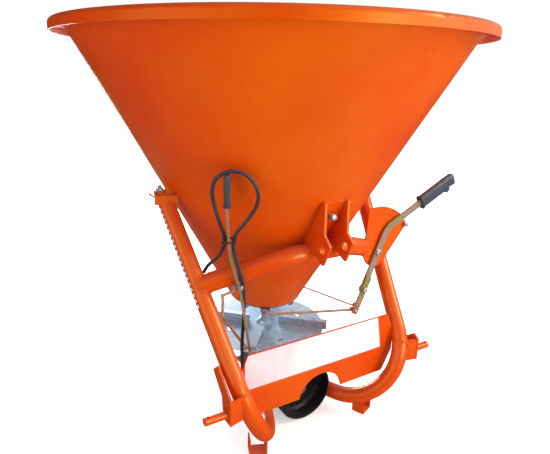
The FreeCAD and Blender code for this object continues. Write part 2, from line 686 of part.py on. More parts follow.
# --- spreading disc, its hub, four channel vanes and the agitator ---------------------------------------
disc = new_body("spreading_disc")
profile = new_sketch(disc, "XZ_Plane", "DiscProfile")
outline(profile, [
    (0, n.neckTopZ - 28.0), (n.outputRadius, n.neckTopZ - 28.0), (n.outputRadius, n.discZ - 14.0),
    (n.hubRadius, n.discZ - 14.0), (n.hubRadius, n.discZ - n.discThick / 2.0),
    (n.discRadius, n.discZ - n.discThick / 2.0), (n.discRadius, n.discZ + n.discThick / 2.0),
    (n.hubRadius - 4.0, n.discZ + n.discThick / 2.0), (n.outputRadius + 3.0, n.discZ + 16.0),
    (n.outputRadius - 4.0, n.discZ + 20.0), (0, n.discZ + 20.0),
])
revolve(disc, profile)
VANE_ANGLES = [-43.0 + 90.0 * k for k in range(4)]
holes = new_sketch(disc, "XY_Plane", "DiscHoles")
for angle in VANE_ANGLES:
    at = math.radians(angle + 38.0)
    out, across = (math.cos(at), math.sin(at)), (-math.sin(at), math.cos(at))
    ring(holes, (out[0] * n.discHoleReach, out[1] * n.discHoleReach), n.discHole)
    corners = [(out[0] * u + across[0] * v, out[1] * u + across[1] * v)
               for u, v in ((130.0, -14.0), (140.0, -14.0), (140.0, 14.0), (130.0, 14.0))]
    outline(holes, corners, {0: 4.5, 1: 4.5, 2: 4.5, 3: 4.5})
cut_through(disc, holes)
PARTS.append(disc)

vanes = []
for k, angle in enumerate(VANE_ANGLES):
    vane = new_body("Vane%d" % k)
    end = new_sketch(vane, "YZ_Plane", "VaneEnd%d" % k, n.vaneStart)
    low = n.discZ + n.discThick / 2.0
    a = n.vaneWidth
    s = n.vaneSheet
    top_z = low + n.vaneHeight
    outline(end, [(0, low), (a, low), (a, low + s), (s, low + s), (s, top_z - s), (a, top_z - s),
                  (a, top_z), (0, top_z)])
    pad(vane, end, n.vaneEnd - n.vaneStart)
    vane.Placement = Placement(Vector(), Rotation(Vector(0, 0, 1), angle))
    vanes.append(vane)
PARTS.append(joined("disc_vanes", vanes))

stirrer = [cylinder("StirrerShaft", 9.0, 180.0, Placement(Vector(0, 0, n.discZ.value + 20.0),
                                                          Rotation()))]
for k, (z, reach) in enumerate(((375.0, 85.0), (408.0, 95.0))):
    arm_dir = Vector(math.cos(k * 1.57), math.sin(k * 1.57), 0)
    stirrer.append(cylinder("StirrerArm%d" % k, 5.0, 2.0 * reach,
                            along(Vector(0, 0, z) - arm_dir * reach, arm_dir)))
PARTS.append(joined("agitator", stirrer))

# --- metering plates under the floor: each turns about the hopper axis ---------------------------------
def metering_plate(label, level, ear_angle, ear_reach, ear_hole, turn):
    """Sheet disc with two outlets, closed at rest and open after it turns by the given angle."""
    body = new_body(label + "Blank")
    face = new_sketch(body, "XY_Plane", label + "Face", level)
    ring(face, (0, 0), n.meterRadius)
    ring(face, (0, 0), n.floorHole)
    for outlet in OUTLET_ANGLES:
        at = math.radians(outlet - turn)
        ring(face, (n.outletRadius * math.cos(at), n.outletRadius * math.sin(at)), n.outletBore)
    pad(body, face, n.meterSheet)
    at = math.radians(ear_angle)
    nose_radius = ear_hole + n.earWall
    root = n.meterRadius.value - 14.0
    ear = box(label + "Ear", ear_reach - root, 2.0 * nose_radius, n.meterSheet,
              Placement(Vector(math.cos(at) * root + nose_radius.value * math.sin(at),
                               math.sin(at) * root - nose_radius.value * math.cos(at),
                               level.value), Rotation(Vector(0, 0, 1), ear_angle)))
    tip = Vector(ear_reach.value * math.cos(at), ear_reach.value * math.sin(at), level.value)
    nose = cylinder(label + "Nose", nose_radius, n.meterSheet, Placement(tip, Rotation()))
    hole = cylinder(label + "EarHole", ear_hole, n.meterSheet + 4.0,
                    Placement(tip - Vector(0, 0, 2), Rotation()))
    return less(label, joined(label + "Sheet", [body, ear, nose]), [hole])


level_b = n.hopperFloorZ - n.meterGap - n.meterSheet
level_a = level_b - n.meterGap - n.meterSheet
A_ANGLE, B_ANGLE = -120.0, 22.0
PARTS.append(metering_plate("metering_plate_lower", level_a, A_ANGLE, n.earReach, n.earHole, 29.8))
PARTS.append(metering_plate("metering_plate_upper", level_b, B_ANGLE, n.earReachUpper,
                            n.earHoleUpper, -6.4))


def polar(radius, angle, z):
    at = math.radians(angle)
    return Vector(radius * math.cos(at), radius * math.sin(at), z)


eye_a = polar(n.earReach.value, A_ANGLE, 0.0)
eye_b = polar(n.earReachUpper.value, B_ANGLE, 0.0)
# --- dosing lever: two flat bars on a pivot bolt in front of the scale plate ------------------------------
bar_y = n.scaleY - n.leverGap
px, pz, R = n.pivotX, n.pivotZ, n.scaleRadius
SCALE_LOW, SCALE_HIGH = 31.5, 106.0
back = n.scaleY + n.scaleThick


def scale_point(radius, angle):
    at = math.radians(angle)
    return (px + radius * math.cos(at), pz + radius * math.sin(at))


sector = cylinder("ScaleSector", R, n.scaleThick,
                  Placement(Vector(px.value, back.value, pz.value),
                            Rotation(Vector(1, 0, 0), 90.0) * Rotation(Vector(0, 0, 1), SCALE_LOW)))
sector.Angle = SCALE_HIGH - SCALE_LOW
hub = cylinder("ScaleHub", n.scaleHub, n.scaleThick,
               along(Vector(px.value, n.scaleY.value, pz.value), Vector(0, 1, 0)))
flanks = new_body("ScaleFlanks")
face = new_sketch(flanks, "XZ_Plane", "ScaleFace", -n.scaleY)
outline(face, [scale_point(R, SCALE_LOW), scale_point(R, SCALE_HIGH),
               scale_point(n.scaleHub, 180.0), scale_point(n.scaleHub, -38.0)])
pad(flanks, face, n.scaleThick, reverse=True)


def bolt_y(name, radius, centre, front, back_end):
    """Round bolt along Y from front to back at a point (x, z)."""
    return cylinder(name, radius, back_end - front, along(Vector(centre[0], front, centre[1]),
                                                          Vector(0, 1, 0)))


stop_at = math.radians(33.5)
stop_reach = R.value - 9.0
stop = (px.value + stop_reach * math.cos(stop_at), pz.value + stop_reach * math.sin(stop_at))
stop_shank = bolt_y("StopShank", 4.0, stop, n.scaleY.value - 12.0, back.value + 8.0)
stop_head = bolt_y("StopHead", 7.0, stop, n.scaleY.value - 12.0, n.scaleY.value - 7.0)
stop_nut = bolt_y("StopNut", 7.0, stop, back.value, back.value + 6.0)
pivot_hole = bolt_y("PivotHole", 6.3, (px.value, pz.value), n.scaleY.value - 1.0, back.value + 1.0)
PARTS.append(less("scale_plate", joined("ScaleBlank", [sector, hub, flanks]),
                  [tube_tools["right"], cross_core, pivot_hole, stop_shank]))
PARTS.append(joined("scale_stop_bolt", [stop_shank, stop_head, stop_nut]))


def flat_bar(label, start, heading, legs, turns, bend, front_y):
    """Flat bar bent on edge in an XZ plane; heading in degrees from +X towards +Z."""
    body = new_body(label)
    spine = bent_spine(body, label + "Path", legs, turns, bend)
    section = new_sketch(body, "XY_Plane", label + "Section")
    half = n.barWidth / 2.0
    deep = n.barThick
    outline(section, [(-half, 0), (half, 0), (half, deep), (-half, deep)])
    sweep_body(label, section, spine)
    at = math.radians(heading)
    zdir = Vector(math.cos(at), 0, math.sin(at))
    xdir = Vector(math.sin(at), 0, -math.cos(at))
    body.Placement = frame_of(Vector(start[0], front_y, start[1]), zdir, xdir)
    return body


low_at = math.radians(n.lowerAngle.value)
low_dir = (-math.sin(low_at), -math.cos(low_at))
low_pin = (px.value + low_dir[0] * n.lowerArm.value, pz.value + low_dir[1] * n.lowerArm.value)
joint = (px.value + low_dir[0] * n.jointDown.value, pz.value + low_dir[1] * n.jointDown.value)
up = 90.0 - n.lowerAngle.value
setback_bend = n.bendRadius * half_tan(n.bendTurn)
upper_bar = flat_bar("UpperBar", (joint[0] + low_dir[0] * 12, joint[1] + low_dir[1] * 12), up,
                     [n.jointDown + 12.0 + n.bendReach - setback_bend, n.gripReach + 52.0],
                     [n.bendTurn], n.bendRadius, bar_y.value - n.barThick.value)
lower_bar = flat_bar("LowerBar", (low_pin[0] + low_dir[0] * 10, low_pin[1] + low_dir[1] * 10), up,
                     [n.lowerArm - n.jointDown + 24.0 + 30.0], [], 40.0,
                     bar_y.value - 2 * n.barThick.value)


front_y = bar_y.value - 2 * n.barThick.value
pivot_bolt = bolt_y("PivotBolt", 6.0, (px.value, pz.value), front_y - 1.0, back.value + 6.0)
pivot_head = bolt_y("PivotHead", 9.5, (px.value, pz.value), front_y - 1.0, front_y + 6.0)
joint_bolt = bolt_y("JointBolt", 5.0, joint, front_y - 6.0, bar_y.value + 7.0)
low_bolt = bolt_y("LowBolt", 3.2, low_pin, front_y - 5.0, bar_y.value + 10.0)
low_head = bolt_y("LowHead", 7.0, low_pin, front_y - 5.0, front_y)
hook = (low_pin[0] - low_dir[0] * 16.5, low_pin[1] - low_dir[1] * 16.5)
hook_pin = bolt_y("HookPin", 2.0, hook, front_y - 3.0, bar_y.value + 8.0)
lever_pins = joined("dose_lever_bolts", [joint_bolt, low_bolt, low_head, hook_pin])
PARTS.append(less("dose_lever_bars", joined("BarsBlank", [upper_bar, lower_bar]),
                  [joint_bolt, low_bolt, hook_pin,
                   bolt_y("PivotClear", 6.3, (px.value, pz.value), front_y - 2.0,
                          bar_y.value + 2.0)]))
PARTS.append(lever_pins)
PARTS.append(less("lever_pivot_bolt", joined("PivotBlank", [pivot_bolt, pivot_head]), [cross_core]))

grip_heading = math.radians(up - n.bendTurn.value)
grip_dir = Vector(math.cos(grip_heading), 0, math.sin(grip_heading))
bend_corner = Vector(px.value - low_dir[0] * n.bendReach.value,
                     bar_y.value - n.barThick.value / 2,
                     pz.value - low_dir[1] * n.bendReach.value)
grip_start = bend_corner + grip_dir * n.gripReach.value


def grip_layer(body, name, start, height, width, thick, shift=0.0):
    """One step of a moulded grip: a flat oval of the given size."""
    face = new_sketch(body, "XY_Plane", name, start)
    a, b = width / 2.0, thick / 2.0
    outline(face, [(shift - a, -b), (shift + a, -b), (shift + a, b), (shift - a, b)],
            {0: b * 0.9, 1: b * 0.9, 2: b * 0.9, 3: b * 0.9})
    return pad(body, face, height)


def hand_grip(label, length, place):
    """Moulded sleeve for a flat bar: collar, oval sleeve with a rounded end and a finger stop."""
    body = new_body(label)
    width, thick = n.gripWidth, n.gripThick
    sleeve = grip_layer(body, label + "Sleeve", 0.0, length, width, thick)
    doc.recompute()
    ends = ["Edge%d" % (i + 1) for i, edge in enumerate(body.Shape.Edges)
            if edge.BoundBox.ZMin > float(length) - 0.01]
    rounded = body.newObject("PartDesign::Fillet", label + "End")
    rounded.Base = (sleeve, ends)
    rounded.Radius = 6.0
    body.Tip = rounded
    grip_layer(body, label + "Collar", 0.0, n.gripCollar, width + 8.0, thick + 5.0)
    grip_layer(body, label + "Stop", length - 44.0, 9.0, width, thick + 1.0, 3.0)
    body.Placement = place
    return body


PARTS.append(less("dose_lever_grip",
                  hand_grip("GripBlank", n.gripLength,
                            frame_of(grip_start, grip_dir, Vector(0, 1, 0).cross(grip_dir))),
                  [upper_bar]))


def link_rod(label, start, finish, radius, eye, bore, thick, pin, pin_up):
    """Straight rod: a ring eye on the lever's pin and an upright pin at the other end."""
    run = finish - start
    head = cylinder(label + "Eye", eye, thick, along(start - Vector(0, thick / 2, 0), Vector(0, 1, 0)))
    hole = cylinder(label + "Bore", bore, thick + 4.0,
                    along(start - Vector(0, thick / 2 + 2.0, 0), Vector(0, 1, 0)))
    root = start + Vector(run.x, 0, run.z).normalize() * (0.35 * bore + 0.65 * eye)
    stem = cylinder(label + "Stem", radius, (finish - root).Length, along(root, finish - root))
    knee = cylinder(label + "Knee", radius + 1.5, 2 * radius + 2.0,
                    Placement(finish - Vector(0, 0, radius + 1.0), Rotation()))
    upright = cylinder(label + "Pin", pin, abs(pin_up),
                       along(finish, Vector(0, 0, 1 if pin_up > 0 else -1)))
    return less(label, joined(label + "Blank", [head, stem, knee, upright]), [hole])


rod_y = bar_y.value + 5.0
PARTS.append(link_rod("dose_rod", Vector(low_pin[0], rod_y, low_pin[1]),
                      eye_a + Vector(0, 0, level_a.value - 12.0), 4.0, 8.0, 4.1, 5.0, 3.2, 18.0))
PARTS.append(link_rod("thin_rod", Vector(hook[0], rod_y, hook[1]),
                      eye_b + Vector(0, 0, level_b.value + 8.5), 2.5, 7.0, 2.9, 4.0, 3.0, -13.0))

# three clips that carry the metering plates at their rims
clips = []
for k, angle in enumerate((-60.0, 90.0, 200.0)):
    clip = box("Clip%d" % k, 12.0, 18.0, 14.0,
               Placement(polar(96.5, angle, 0) + Vector(math.sin(math.radians(angle)),
                         -math.cos(math.radians(angle)), 0) * 9.0
                         + Vector(0, 0, n.hopperFloorZ.value - 14.0),
                         Rotation(Vector(0, 0, 1), angle)))
    clips.append(clip)
slot = cylinder("ClipSlot", n.meterRadius + 1.0, 9.0,
                Placement(Vector(0, 0, level_a.value - 1.0), Rotation()))
PARTS.append(less("metering_clips", joined("ClipBlank", clips), [slot]))

# --- shut-off lever on the left: pivot under the cross tube corner -----------------------------------
reach = Vector(-0.864, 0.503, 0)
depthwise = Vector(0.503, 0.864, 0)
lean = math.radians(10.5)
rise = Vector(0, 0, 1) * math.cos(lean) - depthwise * math.sin(lean)
pivot_left = Vector(-246.0, -269.0, 518.6)


def lean_point(sideways, upward):
    return pivot_left + reach * sideways + rise * upward


foot_pt = lean_point(-30.0, -218.0)
first = (lean_point(0, 0) - foot_pt).normalize()
shut = new_body("ShutBar")
spine = bent_spine(shut, "ShutPath", [206.0, 106.0, 150.0], [6.0, -10.5], 80.0)
section = new_sketch(shut, "XY_Plane", "ShutSection")
outline(section, [(-n.barThick / 2, -n.barWidth / 2), (n.barThick / 2, -n.barWidth / 2),
                  (n.barThick / 2, n.barWidth / 2), (-n.barThick / 2, n.barWidth / 2)])
sweep_body("ShutBarSweep", section, spine)
shut.Placement = frame_of(foot_pt, first, reach)
shut_grip = hand_grip("ShutGripBlank", n.shutGripLength,
                      frame_of(lean_point(34.0, 216.0), rise + reach * 0.02, rise.cross(reach)))
shut_bolt = joined("ShutBoltBlank", [
    cylinder("ShutBolt", 4.0, 32.0, along(pivot_left - reach * 12.0, reach)),
    cylinder("ShutNut", 6.5, 6.0, along(pivot_left + reach * 12.0, reach))])
link_start = foot_pt + first * 8.0
link_pin = cylinder("ShutLinkPin", 4.0, 18.0, along(link_start - reach * 6.0, reach))
PARTS.append(less("shutoff_lever", shut, [shut_bolt, link_pin]))
PARTS.append(less("shutoff_grip", shut_grip, [shut]))
# bracket on the cross tube: a lug beside the lever's pivot and a plate behind the lever
lug = box("PivotLug", 6.0, 52.0, 22.0,
          frame_of(lean_point(6.0, -14.0) + depthwise * 40.0, rise, reach))
back_plate = box("LugBack", 6.0, 26.0, 46.0,
                 frame_of(lean_point(6.0, 6.0) + depthwise * 40.0, rise, reach))
PARTS.append(less("shutoff_bracket", joined("BracketFlanges", [lug, back_plate]),
                  [shut_bolt, cross_core]))
PARTS.append(joined("shutoff_bolts", [shut_bolt, link_pin]))

# hanger arm on the hopper's left side and the link that runs to it from the lever's foot
arm_low = Vector(-196.0, -62.0, 314.0)
arm_knee = Vector(-196.0, -62.0, 398.0)
arm_root = Vector(-142.0, -45.0, 398.0)
arm = joined("ArmBars", [
    cylinder("ArmDrop", 5.0, 92.0, Placement(arm_low - Vector(0, 0, 3), Rotation())),
    cylinder("ArmOut", 5.0, (arm_knee - arm_root).Length + 5.0,
             along(arm_root, arm_knee - arm_root))])
PARTS.append(less("shutoff_arm", arm, [cone_tool("ConeForArm")]))
link_end = arm_low + Vector(0, 0, 6)
link_from = link_start + reach * 10.0
link_way = (link_end - link_from).normalize()
link = cylinder("LinkStem", 4.0, (link_end - link_from).Length - 5.3,
                along(link_from, link_way))
PARTS.append(less("shutoff_link", link, [shut, arm, link_pin]))

# --- hose: hangs behind the front plate, loops above the cross tube and ends behind the tube ---------------
HOSE_ROUTE = [
    (-218, -241, 230), (-221, -236, 315), (-214, -237, 404), (-230, -263, 513), (-255, -279, 578),
    (-281, -278, 670), (-244, -313, 730), (-225, -337, 789), (-259, -333, 852), (-311, -305, 861),
    (-341, -276, 818), (-312, -271, 717), (-289, -272, 665), (-283, -216, 599), (-301, -168, 558),
    (-316, -150, 500), (-312, -176, 444), (-303, -215, 400),
]
ARC_SHARE = 0.45


def cord(label, route, radius):
    """Round cord on straight runs joined by arcs."""
    points = [Vector(*point) for point in route]
    edges = []
    radii = []
    here = points[0]
    for before, corner, after in zip(points, points[1:], points[2:]):
        back, ahead = before - corner, after - corner
        half = ahead.getAngle(-back) / 2.0
        setback = ARC_SHARE * min(back.Length, ahead.Length)
        radii.append(setback / math.tan(half))
        back.normalize()
        ahead.normalize()
        inward = (back + ahead).normalize()
        middle = corner + inward * (radii[-1] / math.cos(half) - radii[-1])
        start, finish = corner + back * setback, corner + ahead * setback
        edges.append(Part.LineSegment(here, start).toShape())
        edges.append(Part.Arc(start, middle, finish).toShape())
        here = finish
    edges.append(Part.LineSegment(here, points[-1]).toShape())
    path = doc.addObject("Part::Feature", label + "Path")
    path.Shape = Part.Wire(edges)
    section = doc.addObject("Part::Circle", label + "Section")
    bind(section, "Radius", radius)
    section.Placement = along(points[0], points[1] - points[0])
    swept = doc.addObject("Part::Sweep", label)
    swept.Label = label
    swept.Sections = [section]
    swept.Spine = (path, ["Edge%d" % (i + 1) for i in range(len(edges))])
    swept.Solid = True
    swept.Frenet = False
    doc.recompute()
    length = path.Shape.Length
    expected = math.pi * float(radius) ** 2 * length
    if abs(swept.Shape.Volume - expected) > 0.01 * expected:
        raise RuntimeError("%s has the wrong volume" % label)
    print("%s: %.0f mm long, radii %s" % (label, length, " ".join("%.0f" % r for r in radii)))
    return swept


def fitting(name, at, heading, steps):
    """Turned fitting along a heading: each step is (length, radius, sides), 0 sides for round."""
    items = []
    start = Vector(at)
    for k, (length, radius, sides) in enumerate(steps):
        if sides:
            item = doc.addObject("Part::Prism", "%sHex%d" % (name, k))
            item.Polygon = sides
            bind(item, "Circumradius", radius)
            bind(item, "Height", length)
            item.Placement = along(start, heading)
        else:
            item = cylinder("%sTurn%d" % (name, k), radius, length, along(start, heading))
        items.append(item)
        start = start + heading * float(length)
    return joined(name, items)


PARTS.append(cord("hose", HOSE_ROUTE, n.hoseRadius))
hang_end, hang_next = Vector(*HOSE_ROUTE[0]), Vector(*HOSE_ROUTE[1])
PARTS.append(fitting("hose_coupler", hang_end, (hang_end - hang_next).normalize(), [
    (n.ferruleLength, n.ferruleRadius, 0), (9.0, 11.0, 6), (12.0, 7.0, 0), (3.0, 8.8, 0),
    (4.0, 6.6, 0), (10.0, 8.6, 0)]))
port_end, port_next = Vector(*HOSE_ROUTE[-1]), Vector(*HOSE_ROUTE[-2])
port_way = (port_end - port_next).normalize()
port = fitting("hose_port", port_end, port_way, [
    (n.ferruleLength, n.ferruleRadius, 0), (8.0, 11.0, 6), (6.0, 6.5, 0), (7.0, 11.0, 6),
    (5.0, 8.0, 0)])
PARTS.append(port)
tab_at = port_end + port_way * (n.ferruleLength.value + 8.5)
tube_t = (top.z - tab_at.z) / (top.z - corner.z)
tube_near = mirrored_point(top + (corner - top) * tube_t, -1.0)
port_tab = box("PortTab", 66.0, 28.0, 5.0,
               frame_of(tab_at - port_way.cross(tube_near - tab_at).normalize() * 14.0
                        - (tube_near - tab_at).normalize() * 14.0,
                        port_way, tube_near - tab_at))
PARTS.append(less("hose_port_tab", port_tab, [tube_tools["left"], port]))

# tie round the two strands and the lever
tie = new_body("TieBand")
face = new_sketch(tie, "XY_Plane", "TieFace")
for grow in (0.0, n.tieBand.value):
    a, b = n.tieHalfWide.value + grow, n.tieHalfDeep.value + grow
    outline(face, [(-a, -b), (a, -b), (a, b), (-a, b)], {i: 5.0 + grow for i in range(4)})
pad(tie, face, n.tieHeight)
tie.Placement = frame_of(lean_point(30.1, 147.0), rise, reach)
tie.Label = "hose_tie"
PARTS.append(tie)

doc.recompute()
for item in doc.Objects:
    if "Invalid" in item.State or "Error" in item.State:
        raise RuntimeError("%s failed" % item.Label)
os.makedirs("parts", exist_ok=True)
for item in PARTS:
    if item.Shape.isNull() or not item.Shape.isValid():
        raise RuntimeError("%s has no valid shape" % item.Label)
for item in PARTS:
    item.Shape.exportStep("parts/%s.step" % item.Label)
print("%d nodes written" % len(PARTS))
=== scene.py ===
import json
import math

import bmesh
import bpy
from bpy.props import FloatProperty, FloatVectorProperty, IntProperty, PointerProperty
from mathutils import Matrix, Vector, noise
from mathutils.bvhtree import BVHTree


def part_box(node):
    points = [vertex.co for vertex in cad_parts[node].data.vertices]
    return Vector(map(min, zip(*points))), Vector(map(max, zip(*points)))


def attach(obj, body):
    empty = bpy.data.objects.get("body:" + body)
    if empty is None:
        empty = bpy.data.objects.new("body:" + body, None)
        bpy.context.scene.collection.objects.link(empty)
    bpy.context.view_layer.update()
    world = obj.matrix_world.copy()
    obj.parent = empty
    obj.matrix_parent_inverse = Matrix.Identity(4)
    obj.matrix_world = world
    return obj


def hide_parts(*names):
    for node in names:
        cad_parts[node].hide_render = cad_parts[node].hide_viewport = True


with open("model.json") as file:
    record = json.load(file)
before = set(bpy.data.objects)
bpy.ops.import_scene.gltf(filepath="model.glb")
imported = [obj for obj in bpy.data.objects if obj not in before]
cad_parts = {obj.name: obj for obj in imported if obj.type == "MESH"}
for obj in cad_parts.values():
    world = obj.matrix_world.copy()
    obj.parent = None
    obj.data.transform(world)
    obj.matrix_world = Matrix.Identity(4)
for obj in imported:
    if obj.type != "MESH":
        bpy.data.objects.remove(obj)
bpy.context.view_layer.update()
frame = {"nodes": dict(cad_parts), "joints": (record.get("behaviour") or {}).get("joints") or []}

bl_info = {
    "name": "Cone Fertilizer Spreader",
    "version": (1, 0, 0),
    "blender": (4, 5, 0),
    "location": "3D View > Sidebar > Spreader",
    "description": "Finishes, fasteners, welds and hose of a mounted cone spreader",
    "category": "Object",
}

# Every length is in metres
PIVOTS = {joint["name"]: Vector(joint["pos_m"]) for joint in frame["joints"]}
UP = Vector((0.0, 0.0, 1.0))
FRONT = Vector((0.0, -1.0, 0.0))
BACK = Vector((0.0, 1.0, 0.0))
SIDES = (-1.0, 1.0)

# Hose: the points of its centre line, from the coupler to the port
HOSE_ROUTE = (
    (-0.218, -0.241, 0.230), (-0.221, -0.236, 0.315), (-0.214, -0.237, 0.404),
    (-0.230, -0.263, 0.513), (-0.255, -0.279, 0.578), (-0.281, -0.278, 0.670),
    (-0.244, -0.313, 0.730), (-0.225, -0.337, 0.789), (-0.259, -0.333, 0.852),
    (-0.311, -0.305, 0.861), (-0.341, -0.276, 0.818), (-0.312, -0.271, 0.717),
    (-0.289, -0.272, 0.665), (-0.283, -0.216, 0.599), (-0.301, -0.168, 0.558),
    (-0.316, -0.150, 0.500), (-0.312, -0.176, 0.444), (-0.303, -0.215, 0.400),
)

# Shut-off lever: its pivot, the pivot's axis, the lean of its bar, its foot and its grip
SHUTOFF_PIVOT = Vector((-0.246, -0.269, 0.5186))
SHUTOFF_AXIS = Vector((-0.864, 0.503, 0.0))
SHUTOFF_DEPTH = Vector((0.503, 0.864, 0.0))
SHUTOFF_LEAN = math.radians(10.5)
SHUTOFF_RISE = UP * math.cos(SHUTOFF_LEAN) - SHUTOFF_DEPTH * math.sin(SHUTOFF_LEAN)

SHUTOFF_FOOT_IN = 0.030
SHUTOFF_FOOT_DROP = 0.218
SHUTOFF_GRIP_OUT = 0.034
SHUTOFF_GRIP_RISE = 0.248

# Dosing lever: its bend above the pivot, where the grip starts past the bend, and the bolt
# that joins its two bars below the pivot
BAR_RISE = 0.0844
BAR_TURN = math.radians(40.4)
DOSE_GRIP_START = 0.155
BAR_JOINT_DROP = 0.1262

# Right side tube: the ends of its straight leg, mirrored for the left one
TUBE_TOP = Vector((0.367, -0.035, 0.717))
TUBE_CORNER = Vector((0.261, -0.528, 0.0495))
TUBE_RADIUS = 0.025

# Hopper: (radius, height) where the outer wall of the cone starts and ends, and its seams
CONE_START = (0.119, 0.345)
CONE_TOP = (0.592, 1.185)
SEAM_ANGLE = 100.0
SEAM_POINTS = 80
SEAM_STEP = 0.0104
SEAM_RADIUS = 0.0022
RING_POINTS = 81

# Weld beads: spacing and least length in bead radii, and how near a seam's two pieces lie
BEAD_SEED = 5
SEAM_SEED = 40
BEAD_SPACING = 0.55
SHORTEST_BEAD = 3.0
WELD_REACH = 0.0009

# Bolts of the hopper's seats, from the plain pins that they replace, and of the bracket's web
PIN_HEAD_RADIUS = 0.0095
PIN_HEAD_HEIGHT = 0.0058
SEAT_Y = -0.025
WEB_DEPTH = 0.046
WEB_BOLT_X = 0.006
WEB_BOLT_Z = 0.708

# Vanes of the disc: the first one's angle in degrees and the screws along their flanges
VANE_TURN = -43.0
VANE_SCREW_REACH = (0.082, 0.182)
VANE_FLANGE_MIDDLE = 0.0125

# Ears of the top link: (depth, height) of the outline's corners from the bore's middle, of which
# the first few are rounded
EAR_BORE = Vector((0.0, -0.3643, 0.6241))
EAR_BORE_RADIUS = 0.0128
EAR_INNER = 0.0354
EAR_THICK = 0.008
EAR_LAP = 0.0003
EAR_OUTLINE = (
    (-0.002, 0.133), (-0.0045, 0.043), (-0.031, 0.019), (-0.004, -0.045),
    (0.040, -0.022), (0.088, 0.002), (0.0125, 0.133),
)
EAR_ROUNDED = 4

# Dosing scale: its punched marks, from the first angle in degrees round the lever's pivot
MARK_REACH = 0.126
MARK_FIRST = 95.0
MARK_SWEEP = 42.0

# Striped tape on the left tube: from its top end, and the side that it faces
TAPE_START = 0.012
TAPE_LENGTH = 0.312
TAPE_FACING = Vector((-0.926, 0.261, 0.091))

# Gearbox: the side caps' middle off the drive shaft, and sizes of its screws
COVER_SIDES = 40
CAP_Y = 0.006
CAP_RISE = 0.004
COVER_SCREW = 0.006
CARRIER_SCREW = 0.009
OIL_PLUG = 0.010

# Fastener proportions, in diameters of the bolt
FLATS = 1.58
HEAD_HEIGHT = 0.62
NUT_HEIGHT = 0.8
SCREW_HEAD = 0.6
WASHER_THICK = 0.16
THREAD_PITCH = 0.14
CHAMFER = 0.12

# Small colours that show only in wear, dirt and dust
BARE_PRIMER = (0.16, 0.065, 0.035, 1.0)
PAINT_DUST = (0.72, 0.56, 0.46, 1.0)
DULL_ZINC = (0.5, 0.55, 0.6, 1.0)
ZINC_DUST = (0.8, 0.76, 0.7, 1.0)
OLIVE_STAIN = (0.45, 0.48, 0.24, 1.0)
RUBBED_STEEL = (0.86, 0.84, 0.80, 1.0)
SCUFFED_PLASTIC = (0.2, 0.2, 0.2, 1.0)
PLASTIC_DUST = (0.5, 0.47, 0.43, 1.0)
BARE_IRON = (0.32, 0.30, 0.28, 1.0)
IRON_DUST = (0.58, 0.52, 0.45, 1.0)
RUST = (0.24, 0.12, 0.06, 1.0)
RUBBER_DUST = (0.32, 0.30, 0.29, 1.0)
SCRATCHED_FILM = (0.86, 0.42, 0.24, 1.0)
TAPE_RED = (0.52, 0.02, 0.015, 1.0)
TAPE_WHITE = (0.86, 0.85, 0.84, 1.0)
TAPE_DIRT = (0.6, 0.3, 0.2, 1.0)
ENAMEL_GLINT = (1.0, 0.66, 0.06, 1.0)

# Studio: the sky's light from the front and from behind, the floor and the camera
SKY_FRONT = 0.66
SKY_BEHIND = 0.04
SKY_HEADING = (0.74, -0.62, 0.25)
FLOOR_HALF = 14.0
# Near-black floor colour that only reflections see: a painted dark reflection
FLOOR_PAINTED_DARK_REFLECTION = (0.05, 0.04, 0.035, 1.0)
CAMERA_PLACE = Vector((-0.8521, -1.3837, 1.0965))
CAMERA_YAW = 0.5270
CAMERA_PITCH = -0.2634
CAMERA_ROLL = 0.0210
CAMERA_LENS = 32.71
CAMERA_SHIFT = (0.0362, -0.0391)


# --- node trees -----------------------------------------------------------------------------

def feed(tree, node, inputs):
    """Link the inputs that come from other nodes and store the plain values."""
    for key, value in inputs.items():
        if isinstance(value, bpy.types.NodeSocket):
            tree.links.new(value, node.inputs[key])
        else:
            node.inputs[key].default_value = value


def wire(tree, kind, inputs=None, **settings):
    """Add a shader node with its inputs and settings."""
    node = tree.nodes.new("ShaderNode" + kind)
    for key, value in settings.items():
        setattr(node, key, value)
    feed(tree, node, inputs or {})
    return node


def reckon(tree, operation, first, second=0.5, clamp=False):
    """Math on one or two values."""
    return wire(tree, "Math", {0: first, 1: second}, operation=operation,
                use_clamp=clamp).outputs[0]


def add_share(tree, value, mask, share, clamp=False):
    """A value plus a share of a mask."""
    return reckon(tree, "ADD", value, reckon(tree, "MULTIPLY", mask, share), clamp)


def spread(tree, value, low, high, to_low=0.0, to_high=1.0):
    """Carry a value from one range to another, clamped."""
    return wire(tree, "MapRange", {"Value": value, "From Min": low, "From Max": high,
                                   "To Min": to_low, "To Max": to_high}).outputs["Result"]


def lay_over(tree, tone, colour, mask, share=1.0):
    """Lay a colour over a tone through a mask, at a share of its strength."""
    if share < 1.0:
        mask = reckon(tree, "MULTIPLY", mask, share)
    return wire(tree, "Mix", {0: mask, 6: tone, 7: colour}, data_type="RGBA").outputs[2]


def grain(tree, position, scale, detail=3.0, roughness=0.55, distortion=0.0):
    """Noise at a scale, from 0 to 1."""
    return wire(tree, "TexNoise", {"Vector": position, "Scale": scale, "Detail": detail,
                                   "Roughness": roughness,
                                   "Distortion": distortion}).outputs["Fac"]


def drawn_out(tree, position, stretch):
    """The position scaled apart along each axis, which draws a pattern out into lines."""
    return wire(tree, "Mapping", {"Vector": position, "Scale": stretch}).outputs[0]


def opaque(colour, share=1.0):
    """A colour at a share of its brightness, with full alpha."""
    return (colour[0] * share, colour[1] * share, colour[2] * share, 1.0)


# --- effects that several finishes use ------------------------------------------------------

